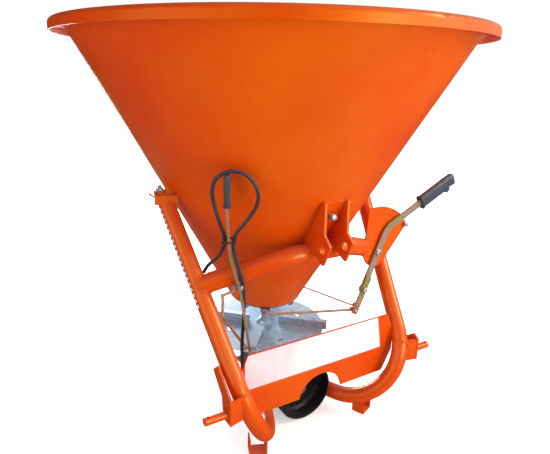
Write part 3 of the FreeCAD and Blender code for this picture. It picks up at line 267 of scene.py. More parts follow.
def new_group(name, inputs, outputs):
    """Start a shader group with its named inputs and outputs."""
    tree = bpy.data.node_groups.new(name, "ShaderNodeTree")
    for label, kind, value in inputs:
        socket = tree.interface.new_socket(label, in_out="INPUT", socket_type="NodeSocket" + kind)
        if value is not None:
            socket.default_value = value
    for label, kind in outputs:
        tree.interface.new_socket(label, in_out="OUTPUT", socket_type="NodeSocket" + kind)
    return tree, tree.nodes.new("NodeGroupInput"), tree.nodes.new("NodeGroupOutput")


def use_group(tree, name, output, **inputs):
    """Place a shader group in a finish and give one of its outputs."""
    node = tree.nodes.new("ShaderNodeGroup")
    node.node_tree = bpy.data.node_groups[name]
    feed(tree, node, inputs)
    return node.outputs[output]


def build_mottle():
    """Soft clouds for colour that drifts over a sheet."""
    tree, entry, leave = new_group(
        "Mottle", [("Position", "Vector", None), ("Scale", "Float", 4.0),
                   ("Low", "Float", 0.35), ("High", "Float", 0.65)], [("Mask", "Float")])
    clouds = grain(tree, entry.outputs["Position"], entry.outputs["Scale"], 4.0, 0.6, 0.3)
    mask = spread(tree, clouds, entry.outputs["Low"], entry.outputs["High"])
    feed(tree, leave, {"Mask": mask})


def build_edge_wear():
    """Worn edges: where a rounded normal leaves the true one, broken up by grain."""
    tree, entry, leave = new_group(
        "Edge Wear", [("Position", "Vector", None), ("Radius", "Float", 0.0015),
                      ("Amount", "Float", 0.5), ("Scale", "Float", 90.0)], [("Mask", "Float")])
    rounded = wire(tree, "Bevel", {"Radius": entry.outputs["Radius"]}, samples=3)
    plain = wire(tree, "NewGeometry").outputs["Normal"]
    same = wire(tree, "VectorMath", {0: rounded.outputs["Normal"], 1: plain},
                operation="DOT_PRODUCT").outputs["Value"]
    bend = spread(tree, same, 0.995, 0.86)
    patches = grain(tree, entry.outputs["Position"], entry.outputs["Scale"], 5.0, 0.7)
    limit = reckon(tree, "SUBTRACT", 0.78, reckon(tree, "MULTIPLY", entry.outputs["Amount"], 0.4))
    broken = spread(tree, patches, limit, reckon(tree, "ADD", limit, 0.06))
    feed(tree, leave, {"Mask": reckon(tree, "MULTIPLY", bend, broken, True)})


def build_dust():
    """Fertilizer dust that settles on what faces up."""
    tree, entry, leave = new_group(
        "Settled Dust", [("Position", "Vector", None), ("Amount", "Float", 0.3),
                         ("Scale", "Float", 14.0)], [("Mask", "Float")])
    normal = wire(tree, "NewGeometry").outputs["Normal"]
    height = wire(tree, "SeparateXYZ", {0: normal}).outputs["Z"]
    level = spread(tree, height, 0.25, 0.95)
    drifts = grain(tree, entry.outputs["Position"], entry.outputs["Scale"], 6.0, 0.65)
    clouds = spread(tree, drifts, 0.3, 0.72)
    specks = spread(tree, grain(tree, entry.outputs["Position"], 600.0, 2.0), 0.52, 0.7)
    film = reckon(tree, "MULTIPLY", level, add_share(tree, clouds, specks, 0.35))
    feed(tree, leave, {"Mask": reckon(tree, "MULTIPLY", film, entry.outputs["Amount"], True)})


def build_spangle():
    """Zinc crystals of hot-dip galvanising: a grey for each and a fine frost."""
    tree, entry, leave = new_group(
        "Zinc Spangle", [("Position", "Vector", None), ("Scale", "Float", 90.0)],
        [("Tone", "Float"), ("Frost", "Float")])
    position = entry.outputs["Position"]
    wander = wire(tree, "TexNoise", {"Vector": position, "Scale": 60.0,
                                     "Detail": 2.0}).outputs["Color"]
    shift = wire(tree, "VectorMath", {0: wander, 1: (0.006, 0.006, 0.006)},
                 operation="MULTIPLY").outputs["Vector"]
    place = wire(tree, "VectorMath", {0: position, 1: shift}, operation="ADD").outputs["Vector"]
    cells = wire(tree, "TexVoronoi", {"Vector": place, "Scale": entry.outputs["Scale"]})
    tone = wire(tree, "SeparateColor", {0: cells.outputs["Color"]}).outputs[0]
    feed(tree, leave, {"Tone": tone, "Frost": grain(tree, position, 900.0, 4.0, 0.7)})


def mottle(tree, position, scale, low=0.35, high=0.65):
    """Mask of soft clouds."""
    return use_group(tree, "Mottle", "Mask", Position=position, Scale=scale, Low=low, High=high)


def edge_wear(tree, position, amount, radius=0.0015, scale=90.0):
    """Mask of worn edges."""
    return use_group(tree, "Edge Wear", "Mask", Position=position, Amount=amount,
                     Radius=radius, Scale=scale)


def settled_dust(tree, position, amount):
    """Mask of settled dust."""
    return use_group(tree, "Settled Dust", "Mask", Position=position, Amount=amount)


# --- finishes -------------------------------------------------------------------------------

def start_finish(name):
    """New material: itself, its node tree, its shader and the object's coordinates."""
    finish = bpy.data.materials.new(name)
    finish.use_nodes = True
    tree = finish.node_tree
    return finish, tree, tree.nodes["Principled BSDF"], wire(tree, "TexCoord").outputs["Object"]


def bumps(tree, height, distance):
    """Normal of a surface with a height pattern on it."""
    return wire(tree, "Bump", {"Height": height, "Distance": distance,
                               "Strength": 1.0}).outputs["Normal"]


def enamel(name, colour, deep, wear, dust, peel, gloss):
    """Baked gloss enamel with orange peel, chipped edges and a film of dust."""
    finish, tree, shader, position = start_finish(name)
    chips = edge_wear(tree, position, wear)
    film = settled_dust(tree, position, dust)
    tone = lay_over(tree, opaque(colour), opaque(deep), mottle(tree, position, 3.2), 0.8)
    tone = lay_over(tree, tone, opaque(deep), mottle(tree, position, 38.0, 0.45, 0.75), 0.16)
    tone = lay_over(tree, tone, BARE_PRIMER, chips)
    tone = lay_over(tree, tone, PAINT_DUST, film)
    sheen = spread(tree, grain(tree, position, 9.0, 5.0), 0.3, 0.7, 0.32, 0.46)
    rough = add_share(tree, sheen, chips, 0.35)
    rough = add_share(tree, rough, film, 0.4, True)
    height = add_share(tree, grain(tree, position, 260.0, 2.0),
                       grain(tree, position, 34.0, 2.0), 2.2)
    height = add_share(tree, height, chips, -1.5)
    feed(tree, shader, {
        "Base Color": tone, "Roughness": rough, "Normal": bumps(tree, height, peel),
        "Specular IOR Level": 0.8, "Specular Tint": ENAMEL_GLINT,
        "Coat Weight": gloss, "Coat Roughness": 0.09})
    return finish


def galvanised(name, colour, dust, metal=0.85):
    """Hot-dip galvanised sheet with spangle, dulled in patches."""
    finish, tree, shader, position = start_finish(name)
    crystal = use_group(tree, "Zinc Spangle", "Tone", Position=position)
    frost = use_group(tree, "Zinc Spangle", "Frost", Position=position)
    dull = mottle(tree, position, 11.0)
    film = settled_dust(tree, position, dust)
    tone = lay_over(tree, opaque(colour, 0.66), opaque(colour),
                    spread(tree, crystal, 0.0, 1.0, 0.1, 0.95))
    tone = lay_over(tree, tone, DULL_ZINC, dull, 0.3)
    tone = lay_over(tree, tone, ZINC_DUST, film)
    rough = add_share(tree, spread(tree, crystal, 0.0, 1.0, 0.26, 0.44), dull, 0.14)
    feed(tree, shader, {
        "Base Color": tone, "Metallic": spread(tree, film, 0.0, 1.0, metal, 0.2),
        "Roughness": add_share(tree, rough, film, 0.3, True),
        "Normal": bumps(tree, reckon(tree, "ADD", frost, crystal), 0.00012)})
    return finish


def yellow_zinc(name, colour, second, streak):
    """Chromated zinc plating that shifts between two tints in patches."""
    finish, tree, shader, position = start_finish(name)
    tone = lay_over(tree, opaque(colour), opaque(second),
                    mottle(tree, position, 17.0, 0.47, 0.56))
    tone = lay_over(tree, tone, OLIVE_STAIN, mottle(tree, position, 70.0, 0.55, 0.75), 0.35)
    worn = edge_wear(tree, position, 0.75, radius=0.001, scale=60.0)
    lines = grain(tree, drawn_out(tree, position, streak), 40.0, 4.0, 0.7)
    feed(tree, shader, {
        "Base Color": lay_over(tree, tone, RUBBED_STEEL, worn), "Metallic": 0.55,
        "Roughness": spread(tree, lines, 0.3, 0.7, 0.2, 0.4),
        "Normal": bumps(tree, lines, 0.0001)})
    return finish


def moulded(name, colour, rough, pitch, depth, dust):
    """Moulded plastic with a fine cast grain and paler scuffed edges."""
    finish, tree, shader, position = start_finish(name)
    pale = opaque([part * 2.2 + 0.02 for part in colour])
    tone = lay_over(tree, opaque(colour), pale, mottle(tree, position, 26.0), 0.35)
    scuffs = edge_wear(tree, position, 0.8, scale=140.0)
    tone = lay_over(tree, tone, SCUFFED_PLASTIC, scuffs, 0.7)
    tone = lay_over(tree, tone, PLASTIC_DUST, settled_dust(tree, position, dust))
    skin = grain(tree, position, pitch, 3.0, 0.6)
    feed(tree, shader, {
        "Base Color": tone, "Roughness": spread(tree, skin, 0.3, 0.7, rough, rough + 0.18),
        "Normal": bumps(tree, skin, depth)})
    return finish


def cast_iron(name, colour):
    """Painted sand casting: pitted skin, dust on what faces up and bare corners."""
    finish, tree, shader, position = start_finish(name)
    tone = lay_over(tree, opaque(colour), opaque(colour, 0.6), mottle(tree, position, 13.0))
    tone = lay_over(tree, tone, BARE_IRON, edge_wear(tree, position, 0.7, radius=0.0025))
    tone = lay_over(tree, tone, IRON_DUST, settled_dust(tree, position, 0.55))
    sand = grain(tree, position, 230.0, 5.0, 0.7)
    feed(tree, shader, {
        "Base Color": tone, "Metallic": 0.3,
        "Roughness": spread(tree, sand, 0.3, 0.7, 0.5, 0.72),
        "Normal": bumps(tree, sand, 0.0009)})
    return finish


def turned_steel(name, colour, axis, pitch):
    """Bright turned steel with tool marks round the given axis and specks of rust."""
    finish, tree, shader, position = start_finish(name)
    stretch = [pitch if part else 1.0 for part in axis]
    marks = grain(tree, drawn_out(tree, position, stretch), 6.0, 3.0, 0.7)
    specks = mottle(tree, position, 75.0, 0.6, 0.72)
    tone = lay_over(tree, opaque(colour), opaque(colour, 0.6),
                    spread(tree, marks, 0.35, 0.65, 0.0, 0.5))
    rough = add_share(tree, spread(tree, marks, 0.3, 0.7, 0.2, 0.36), specks, 0.3, True)
    feed(tree, shader, {
        "Base Color": lay_over(tree, tone, RUST, specks, 0.55),
        "Metallic": spread(tree, specks, 0.0, 1.0, 0.95, 0.4),
        "Roughness": rough, "Normal": bumps(tree, marks, 0.00015)})
    return finish


def hose_rubber(name, colour):
    """Extruded rubber: cloth-wrap imprint, paler bloom and a soft shine."""
    finish, tree, shader, position = start_finish(name)
    tone = lay_over(tree, opaque(colour), opaque(colour, 1.9), mottle(tree, position, 24.0), 0.7)
    tone = lay_over(tree, tone, RUBBER_DUST, settled_dust(tree, position, 0.35))
    weave = wire(tree, "TexWave", {"Vector": position, "Scale": 260.0, "Distortion": 3.0,
                                   "Detail": 2.0}).outputs["Fac"]
    pores = grain(tree, position, 1100.0, 2.0)
    feed(tree, shader, {
        "Base Color": tone, "Roughness": spread(tree, pores, 0.3, 0.7, 0.26, 0.42),
        "Normal": bumps(tree, add_share(tree, pores, weave, 0.5), 0.00012)})
    return finish


def blank_film(name, colour, tint, wear):
    """Label film with nothing printed on it: faded, scratched and grubby, with pink that grows
    toward its left side as painted reddish light.
    """
    finish, tree, shader, position = start_finish(name)
    across = wire(tree, "SeparateXYZ", {0: position}).outputs["X"]
    # Painted reddish light: the pink grows toward the label's left side, where the reddish fill
    # lamp falls; random fading patches are added on top
    side = spread(tree, across, 0.05, -0.22, 0.0, 0.8)
    fade_and_painted_tint = add_share(tree, side, mottle(tree, position, 9.0, 0.42, 0.6), 0.45, True)
    scratches = grain(tree, drawn_out(tree, position, (6.0, 1.0, 90.0)), 7.0, 5.0, 0.75)
    tone = lay_over(tree, opaque(colour), opaque(tint), fade_and_painted_tint)
    tone = lay_over(tree, tone, SCRATCHED_FILM, spread(tree, scratches, 0.62, 0.74), wear)
    feed(tree, shader, {
        "Base Color": tone, "Roughness": spread(tree, scratches, 0.3, 0.7, 0.22, 0.42),
        "Normal": bumps(tree, grain(tree, position, 120.0, 2.0), 0.0001)})
    return finish


def striped_film(name, pitch):
    """Reflective film in plain red and white bars along the left tube."""
    finish, tree, shader, position = start_finish(name)
    along = (TUBE_CORNER - TUBE_TOP).normalized()
    run = wire(tree, "VectorMath", {0: position, 1: (-along.x, along.y, along.z)},
               operation="DOT_PRODUCT").outputs["Value"]
    phase = reckon(tree, "FRACT", reckon(tree, "MULTIPLY", run, 1.0 / pitch))
    bar = reckon(tree, "GREATER_THAN", phase, 0.42)
    tone = lay_over(tree, TAPE_RED, TAPE_WHITE, bar)
    tone = lay_over(tree, tone, TAPE_DIRT, mottle(tree, position, 45.0, 0.5, 0.8), 0.5)
    beads = wire(tree, "TexVoronoi", {"Vector": position, "Scale": 500.0}).outputs["Distance"]
    feed(tree, shader, {
        "Base Color": tone, "Roughness": spread(tree, beads, 0.0, 0.8, 0.2, 0.45),
        "Normal": bumps(tree, beads, 0.00015)})
    return finish


def studio_floor(name, colour):
    """Pale floor that brightens into the white backdrop away from the machine, and turns near
    black in reflections as a painted dark reflection.
    """
    finish, tree, shader, position = start_finish(name)
    light = wire(tree, "LightPath")
    tone = lay_over(tree, opaque(colour), opaque(colour, 0.97), mottle(tree, position, 1.1), 0.25)
    # Painted dark reflection: glossy rays see the floor near black
    tone = lay_over(tree, tone, FLOOR_PAINTED_DARK_REFLECTION, light.outputs["Is Glossy Ray"])
    reach = wire(tree, "VectorMath", {0: position}, operation="LENGTH").outputs["Value"]
    feed(tree, shader, {
        "Base Color": tone, "Roughness": 0.85,
        "Emission Color": spread(tree, reach, 0.25, 1.0, 0.42, 1.0),
        "Emission Strength": light.outputs["Is Camera Ray"]})
    return finish


# --- meshes ---------------------------------------------------------------------------------

def at(point, heading, across=None):
    """Matrix that puts local +Z on the heading at a point."""
    axis = Vector(heading).normalized()
    side = Vector(across) if across is not None else axis.orthogonal()
    side = (side - axis * side.dot(axis)).normalized()
    turn = Matrix((side, axis.cross(side), axis)).transposed().to_4x4()
    return Matrix.Translation(Vector(point)) @ turn


def keep(bm, name, body, finish, sharp=35.0, stands_for=()):
    """Turn a bmesh into a piece that rides on a body."""
    bmesh.ops.remove_doubles(bm, verts=bm.verts, dist=1e-6)
    bmesh.ops.recalc_face_normals(bm, faces=bm.faces)
    for face in bm.faces:
        face.smooth = True
    for edge in bm.edges:
        edge.smooth = edge.calc_face_angle(0.0) < math.radians(sharp)
    mesh = bpy.data.meshes.new(name)
    bm.to_mesh(mesh)
    bm.free()
    return place_mesh(mesh, name, body, finish, stands_for)


def place_mesh(mesh, name, body, finish, stands_for=()):
    """Add a mesh as a piece with its finish, on a body and in place of CAD nodes."""
    piece = bpy.data.objects.new(name, mesh)
    bpy.context.scene.collection.objects.link(piece)
    mesh.materials.clear()
    mesh.materials.append(bpy.data.materials[finish])
    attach(piece, body)
    if stands_for:
        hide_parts(*stands_for)
    return piece


def add_part(bm, part, place):
    """Put a small mesh in place and append it to a larger one."""
    bmesh.ops.recalc_face_normals(part, faces=part.faces)
    bmesh.ops.transform(part, matrix=place, verts=part.verts)
    mesh = bpy.data.meshes.new("part")
    part.to_mesh(mesh)
    part.free()
    bm.from_mesh(mesh)
    bpy.data.meshes.remove(mesh)


def moved_verts(grown):
    """The vertices that an extrusion made."""
    return [item for item in grown["geom"] if isinstance(item, bmesh.types.BMVert)]


def lathe(bm, place, profile, segments=24):
    """Turn a profile of (radius, height) round local Z."""
    part = bmesh.new()
    verts = [part.verts.new((radius, 0.0, height)) for radius, height in profile]
    edges = [part.edges.new(pair) for pair in zip(verts, verts[1:])]
    bmesh.ops.spin(part, geom=verts + edges, cent=(0, 0, 0), axis=(0, 0, 1),
                   angle=2.0 * math.pi, steps=segments, use_merge=True)
    bmesh.ops.remove_doubles(part, verts=part.verts, dist=1e-7)
    add_part(bm, part, place)


def hexagon(bm, place, across, height, turn=0.0):
    """Hexagonal head or nut with chamfered corners; across is over the flats."""
    part = bmesh.new()
    bmesh.ops.create_circle(part, cap_ends=True, segments=6, radius=across / math.sqrt(3.0),
                            matrix=Matrix.Rotation(turn, 4, "Z"))
    grown = bmesh.ops.extrude_face_region(part, geom=list(part.faces))
    bmesh.ops.translate(part, vec=(0, 0, height), verts=moved_verts(grown))
    rims = [edge for edge in part.edges
            if abs(edge.verts[0].co.z - edge.verts[1].co.z) < 1e-9]
    bmesh.ops.bevel(part, geom=rims, offset=across * CHAMFER * 0.5, segments=2,
                    affect="EDGES", profile=0.5, material=-1)
    add_part(bm, part, place)


def thread_profile(radius, start, end, pitch):
    """Half outline of a threaded end: roots and crests from start to end."""
    count = max(2, int((end - start) / pitch))
    step = (end - start) / count
    points = []
    for turn in range(count):
        low = start + turn * step
        points += [(radius * 0.88, low), (radius, low + step * 0.5)]
    return points + [(radius * 0.86, end)]


def bolt(bm, point, heading, size, grip, tail, turn=0.0):
    """Hex bolt: head at the point, shank along the heading, nut after the grip length."""
    place = at(point, heading)
    head = size * HEAD_HEIGHT
    washer = size * WASHER_THICK
    hexagon(bm, place @ Matrix.Translation((0, 0, -head)), size * FLATS, head, turn)
    for z in (0.0, grip - washer):
        lathe(bm, place @ Matrix.Translation((0, 0, z)),
              [(size * 0.52, 0), (size * 0.98, 0), (size * 1.02, size * 0.04),
               (size * 1.02, size * 0.12), (size * 0.98, washer), (size * 0.52, washer),
               (size * 0.52, 0)])
    hexagon(bm, place @ Matrix.Translation((0, 0, grip)), size * FLATS, size * NUT_HEIGHT,
            turn + 0.3)
    radius = size / 2.0
    profile = [(0, -head * 0.5), (radius * 0.95, -head * 0.5), (radius * 0.95, grip)]
    profile += thread_profile(radius, grip + 0.0002, grip + size * NUT_HEIGHT + tail,
                              size * THREAD_PITCH)
    lathe(bm, place, profile + [(0, profile[-1][1] + size * 0.05)])


def cap_screw(bm, point, heading, size, turn=0.0):
    """Hex screw head on a washer, seated at the point and facing the heading."""
    place = at(point, heading)
    washer = size * 0.17
    lathe(bm, place, [(0, 0), (size * 1.02, 0), (size * 1.02, size * 0.12),
                      (size * 0.96, washer), (0, washer)])
    hexagon(bm, place @ Matrix.Translation((0, 0, washer)), size * FLATS, size * SCREW_HEAD,
            turn)


def wire_rod(bm, points, radius, sides=10):
    """Round bent wire through the points, closed at both ends."""
    part = bmesh.new()
    loops = []
    side = None
    for k, point in enumerate(points):
        before = points[max(k - 1, 0)]
        after = points[min(k + 1, len(points) - 1)]
        heading = (after - before).normalized()
        side = heading.orthogonal() if side is None else side
        made = bmesh.ops.create_circle(part, cap_ends=k in (0, len(points) - 1),
                                       segments=sides, radius=radius,
                                       matrix=at(point, heading, side))
        members = set(made["verts"])
        loops.append([edge for edge in part.edges if set(edge.verts) <= members])
    for one, other in zip(loops, loops[1:]):
        bmesh.ops.bridge_loops(part, edges=one + other)
    add_part(bm, part, Matrix())


def merged(node):
    """A copy of a CAD node's mesh with its triangles joined up."""
    bm = bmesh.new()
    bm.from_mesh(frame["nodes"][node].data)
    bmesh.ops.remove_doubles(bm, verts=bm.verts, dist=2e-6)
    bm.verts.index_update()
    return bm


def contact_lines(node, onto, reach, fold=22.0):
    """Edges of one CAD node, folded more than an angle, that lie on another, as lines."""
    other = merged(onto)
    skin = BVHTree.FromBMesh(other)
    bm = merged(node)
    near = {vert: skin.find_nearest(vert.co, reach)[0] is not None for vert in bm.verts}
    steps = {}
    for edge in bm.edges:
        if not (near[edge.verts[0]] and near[edge.verts[1]]):
            continue
        middle = (edge.verts[0].co + edge.verts[1].co) / 2.0
        if skin.find_nearest(middle, reach * 1.6)[0] is None:
            continue
        if edge.calc_face_angle(0.0) < math.radians(fold):
            continue
        for vert in edge.verts:
            steps.setdefault(vert.index, []).append(edge.other_vert(vert).index)
    bm.verts.ensure_lookup_table()
    places = {index: bm.verts[index].co.copy() for index in steps}
    lines = []
    used = set()
    ends = sorted(index for index in steps if len(steps[index]) == 1)
    for start in ends + sorted(steps):
        for follow in steps[start]:
            if (start, follow) in used:
                continue
            line = [start]
            here, ahead = start, follow
            while ahead is not None and (here, ahead) not in used:
                used.update(((here, ahead), (ahead, here)))
                line.append(ahead)
                options = [index for index in steps[ahead] if (ahead, index) not in used]
                here, ahead = ahead, (options[0] if options else None)
            lines.append([places[index] for index in line])
    bm.free()
    other.free()
    return lines


def even_steps(line, step):
    """The same line with points at even distances."""
    out = [line[0].copy()]
    rest = step
    for start, end in zip(line, line[1:]):
        run = (end - start).length
        while run > 1e-9 and rest <= run:
            out.append(start.lerp(end, rest / run))
            rest += step
        rest -= run
    out.append(line[-1].copy())
    return out


def bead(lines, radius, seed):
    """Curve of welds: each line a rippled bead that wanders a little and tapers at both ends."""
    noise.seed_set(BEAD_SEED)
    wander = radius * 0.14
    curve = bpy.data.curves.new("bead", "CURVE")
    curve.dimensions = "3D"
    curve.bevel_depth = radius
    curve.bevel_resolution = 2
    curve.use_fill_caps = True
    for number, line in enumerate(lines):
        length = sum((b - a).length for a, b in zip(line, line[1:]))
        if length < radius * SHORTEST_BEAD:
            continue
        points = even_steps(line, radius * BEAD_SPACING)
        spline = curve.splines.new("POLY")
        spline.points.add(len(points) - 1)
        for k, (target, point) in enumerate(zip(spline.points, points)):
            drift = noise.noise_vector(point * 140.0 + Vector((seed, number, 0.0)))
            target.co = (*(point + drift * wander), 1.0)
            ripple = 1.0 + 0.13 * math.sin(k * 1.9) + 0.12 * noise.noise(point * 90.0)
            end = min(k, len(points) - 1 - k)
            target.radius = ripple * min(1.0, 0.55 + 0.2 * end)
    return curve


def curve_mesh(curve, name):
    """Mesh of a curve's swept shape; the curve itself is dropped."""
    holder = bpy.data.objects.new(name + "_path", curve)
    bpy.context.scene.collection.objects.link(holder)
    bpy.context.view_layer.update()
    graph = bpy.context.evaluated_depsgraph_get()
    mesh = bpy.data.meshes.new_from_object(holder.evaluated_get(graph))
    bpy.data.objects.remove(holder)
    mesh.name = name
    for polygon in mesh.polygons:
        polygon.use_smooth = True
    return mesh


def round_spot(radius, degrees):
    """Place on a circle at an angle in degrees."""
    return radius * math.cos(math.radians(degrees)), radius * math.sin(math.radians(degrees))


def cone_point(angle, height, lift):
    """Point off the hopper's outer wall at an angle in degrees and a height."""
    rate = (CONE_TOP[0] - CONE_START[0]) / (CONE_TOP[1] - CONE_START[1])
    radius = CONE_START[0] + (height - CONE_START[1]) * rate
    wall = Vector((*round_spot(1.0, angle), 0.0))
    outward = (wall - UP * rate).normalized()
    return wall * radius + UP * height + outward * lift


# --- settings -------------------------------------------------------------------------------

def colour_setting(name, description, default):
    """A colour that a user may change."""
    return FloatVectorProperty(name=name, description=description, subtype="COLOR",
                               default=default, min=0.0, max=1.0)


class SpreaderFinishes(bpy.types.PropertyGroup):
    """Colours of the paints, platings and mouldings."""

    enamel: colour_setting("Enamel", "Orange of the hopper and the frame", (0.69, 0.090, 0.0010))
    enamel_deep: colour_setting("Deep enamel", "Redder orange where the paint is thick",
                                (0.65, 0.040, 0.0010))
    zinc: colour_setting("Galvanised", "Hot-dip zinc of the metering plates and the agitator",
                         (0.50, 0.60, 0.76))
    disc: colour_setting("Disc", "Bluish zinc of the spreading disc", (0.48, 0.76, 1.0))
    vanes: colour_setting("Vanes", "Zinc of the disc's vanes", (0.58, 0.76, 0.94))
    bolts: colour_setting("Bolts", "Bright zinc of bolts, nuts and washers", (0.78, 0.79, 0.80))
    gold: colour_setting("Yellow zinc", "Chromated plating of the levers", (0.38, 0.39, 0.15))
    rods: colour_setting("Rods", "Plating of the lower rod and the arm", (0.70, 0.50, 0.30))
    copper: colour_setting("Copper", "Reddish plating of the thin rods", (0.72, 0.24, 0.08))
    black: colour_setting("Black plastic", "Guard, hose tie and punched marks",
                          (0.012, 0.013, 0.016))
    grips: colour_setting("Grips", "Dark grey of the hand grips", (0.032, 0.040, 0.056))
    casting: colour_setting("Casting", "Grey of the gearbox", (0.16, 0.17, 0.18))
    rubber: colour_setting("Rubber", "Black of the hose", (0.024, 0.028, 0.038))
    label: colour_setting("Label", "White of the blank front label", (0.84, 0.84, 0.84))
    # This pink is also the painted reddish light on the label's left side
    label_tint: colour_setting("Faded label", "Pink where the label has faded",
                               (0.70, 0.60, 0.64))


class SpreaderSizes(bpy.types.PropertyGroup):
    """Sizes of the trim that the steelwork doesn't fix."""

    weld: FloatProperty(
        name="Weld bead", description="Radius of the weld beads", default=0.0030,
        min=0.001, max=0.006, subtype="DISTANCE", unit="LENGTH")
    hose: FloatProperty(
        name="Hose", description="Outer diameter of the hose", default=0.010,
        min=0.006, max=0.02, subtype="DISTANCE", unit="LENGTH")
    film: FloatProperty(
        name="Label film", description="Thickness of the blank labels", default=0.0003,
        min=0.0001, max=0.001, subtype="DISTANCE", unit="LENGTH")
    marks: IntProperty(
        name="Scale marks", description="Punched marks on the dosing scale", default=9,
        min=3, max=40)


# --- operators ------------------------------------------------------------------------------

class SPREADER_OT_finishes(bpy.types.Operator):
    """Make every paint, plating and moulding finish and put it on the steelwork"""

    bl_idname = "spreader.finishes"
    bl_label = "Finishes"

    def execute(self, context):
        colours = context.scene.spreader_finishes
        build_mottle()
        build_edge_wear()
        build_dust()
        build_spangle()
        orange = colours.enamel[:]
        deep = colours.enamel_deep[:]
        black = colours.black[:]
        enamel("hopper_enamel", orange, deep, wear=0.25, dust=0.1, peel=0.00022, gloss=0.04)
        enamel("frame_enamel", (orange[0], orange[1] * 0.9, orange[2]), deep, wear=0.6,
               dust=0.12, peel=0.0003, gloss=0.3)
        galvanised("galvanised_sheet", colours.zinc[:], dust=0.2)
        galvanised("disc_sheet", colours.disc[:], dust=0.12, metal=0.15)
        galvanised("vane_sheet", colours.vanes[:], dust=0.15, metal=0.5)
        galvanised("zinc_bolts", colours.bolts[:], dust=0.1)
        yellow_zinc("lever_plating", colours.gold[:], (0.48, 0.36, 0.30), streak=(1.0, 1.0, 8.0))
        yellow_zinc("rod_plating", colours.rods[:], (0.74, 0.60, 0.46), streak=(8.0, 1.0, 1.0))
        yellow_zinc("copper_rod", colours.copper[:], (0.74, 0.36, 0.16), streak=(8.0, 1.0, 1.0))
        moulded("black_moulding", black, rough=0.32, pitch=420.0, depth=0.0002, dust=0.2)
        moulded("guard_moulding", [part * 0.6 for part in black], rough=0.16, pitch=60.0,
                depth=0.0002, dust=0.04)
        moulded("grip_moulding", colours.grips[:], rough=0.36, pitch=700.0, depth=0.00025,
                dust=0.2)
        cast_iron("gearbox_casting", colours.casting[:])
        turned_steel("turned_steel", (0.62, 0.61, 0.60), axis=(0, 1, 0), pitch=60.0)
        turned_steel("fitting_steel", (0.66, 0.60, 0.42), axis=(0, 0, 1), pitch=60.0)
        hose_rubber("hose_rubber", colours.rubber[:])
        blank_film("blank_label", colours.label[:], colours.label_tint[:], wear=0.12)
        striped_film("striped_tape", pitch=0.0165)
        for node, finish in NODE_FINISHES.items():
            frame["nodes"][node].data.materials.clear()
            frame["nodes"][node].data.materials.append(bpy.data.materials[finish])
        return {"FINISHED"}


class SPREADER_OT_hose(bpy.types.Operator):
    """Lay the hose from its coupler round the lever to its port on the left tube"""

    bl_idname = "spreader.hose"
    bl_label = "Hose"

    def execute(self, context):
        diameter = context.scene.spreader_sizes.hose
        curve = bpy.data.curves.new("spreader_hose", "CURVE")
        curve.dimensions = "3D"
        curve.bevel_depth = diameter / 2.0
        curve.bevel_resolution = 7
        curve.resolution_u = 14
        curve.use_fill_caps = True
        spline = curve.splines.new("NURBS")
        spline.points.add(len(HOSE_ROUTE) - 1)
        for target, point in zip(spline.points, HOSE_ROUTE):
            target.co = (*point, 1.0)
        spline.order_u = 3
        spline.use_endpoint_u = True
        curve.materials.append(bpy.data.materials["hose_rubber"])
        hose = bpy.data.objects.new("spreader_hose", curve)
        context.scene.collection.objects.link(hose)
        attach(hose, "frame")
        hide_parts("hose")
        return {"FINISHED"}


class SPREADER_OT_welds(bpy.types.Operator):
    """Run weld beads along every seam between plates and tubes"""

    bl_idname = "spreader.welds"
    bl_label = "Welds"

    def execute(self, context):
        radius = context.scene.spreader_sizes.weld
        for number, (node, onto) in enumerate(WELDED):
            lines = contact_lines(node, onto, WELD_REACH)
            curve = bead(lines, radius, number)
            if not curve.splines:
                raise RuntimeError("no seam between %s and %s" % (node, onto))
            name = "weld_%s_to_%s" % (node, onto)
            place_mesh(curve_mesh(curve, name), name, "frame", "frame_enamel")
        return {"FINISHED"}


class SPREADER_OT_hopper_trim(bpy.types.Operator):
    """Weld the upright seam of the hopper's sheet and the ring round its floor"""

    bl_idname = "spreader.hopper_trim"
    bl_label = "Hopper trim"

    def execute(self, context):
        low = CONE_START[1]
        seam = [cone_point(SEAM_ANGLE, low + 0.007 + SEAM_STEP * k, -0.0012)
                for k in range(SEAM_POINTS)]
        ring = [cone_point(360.0 * k / (RING_POINTS - 1), low + 0.002, -0.001)
                for k in range(RING_POINTS)]
        curve = bead([seam, ring], SEAM_RADIUS, SEAM_SEED)
        place_mesh(curve_mesh(curve, "hopper_seams"), "hopper_seams", "frame",
                   "hopper_enamel")
        return {"FINISHED"}


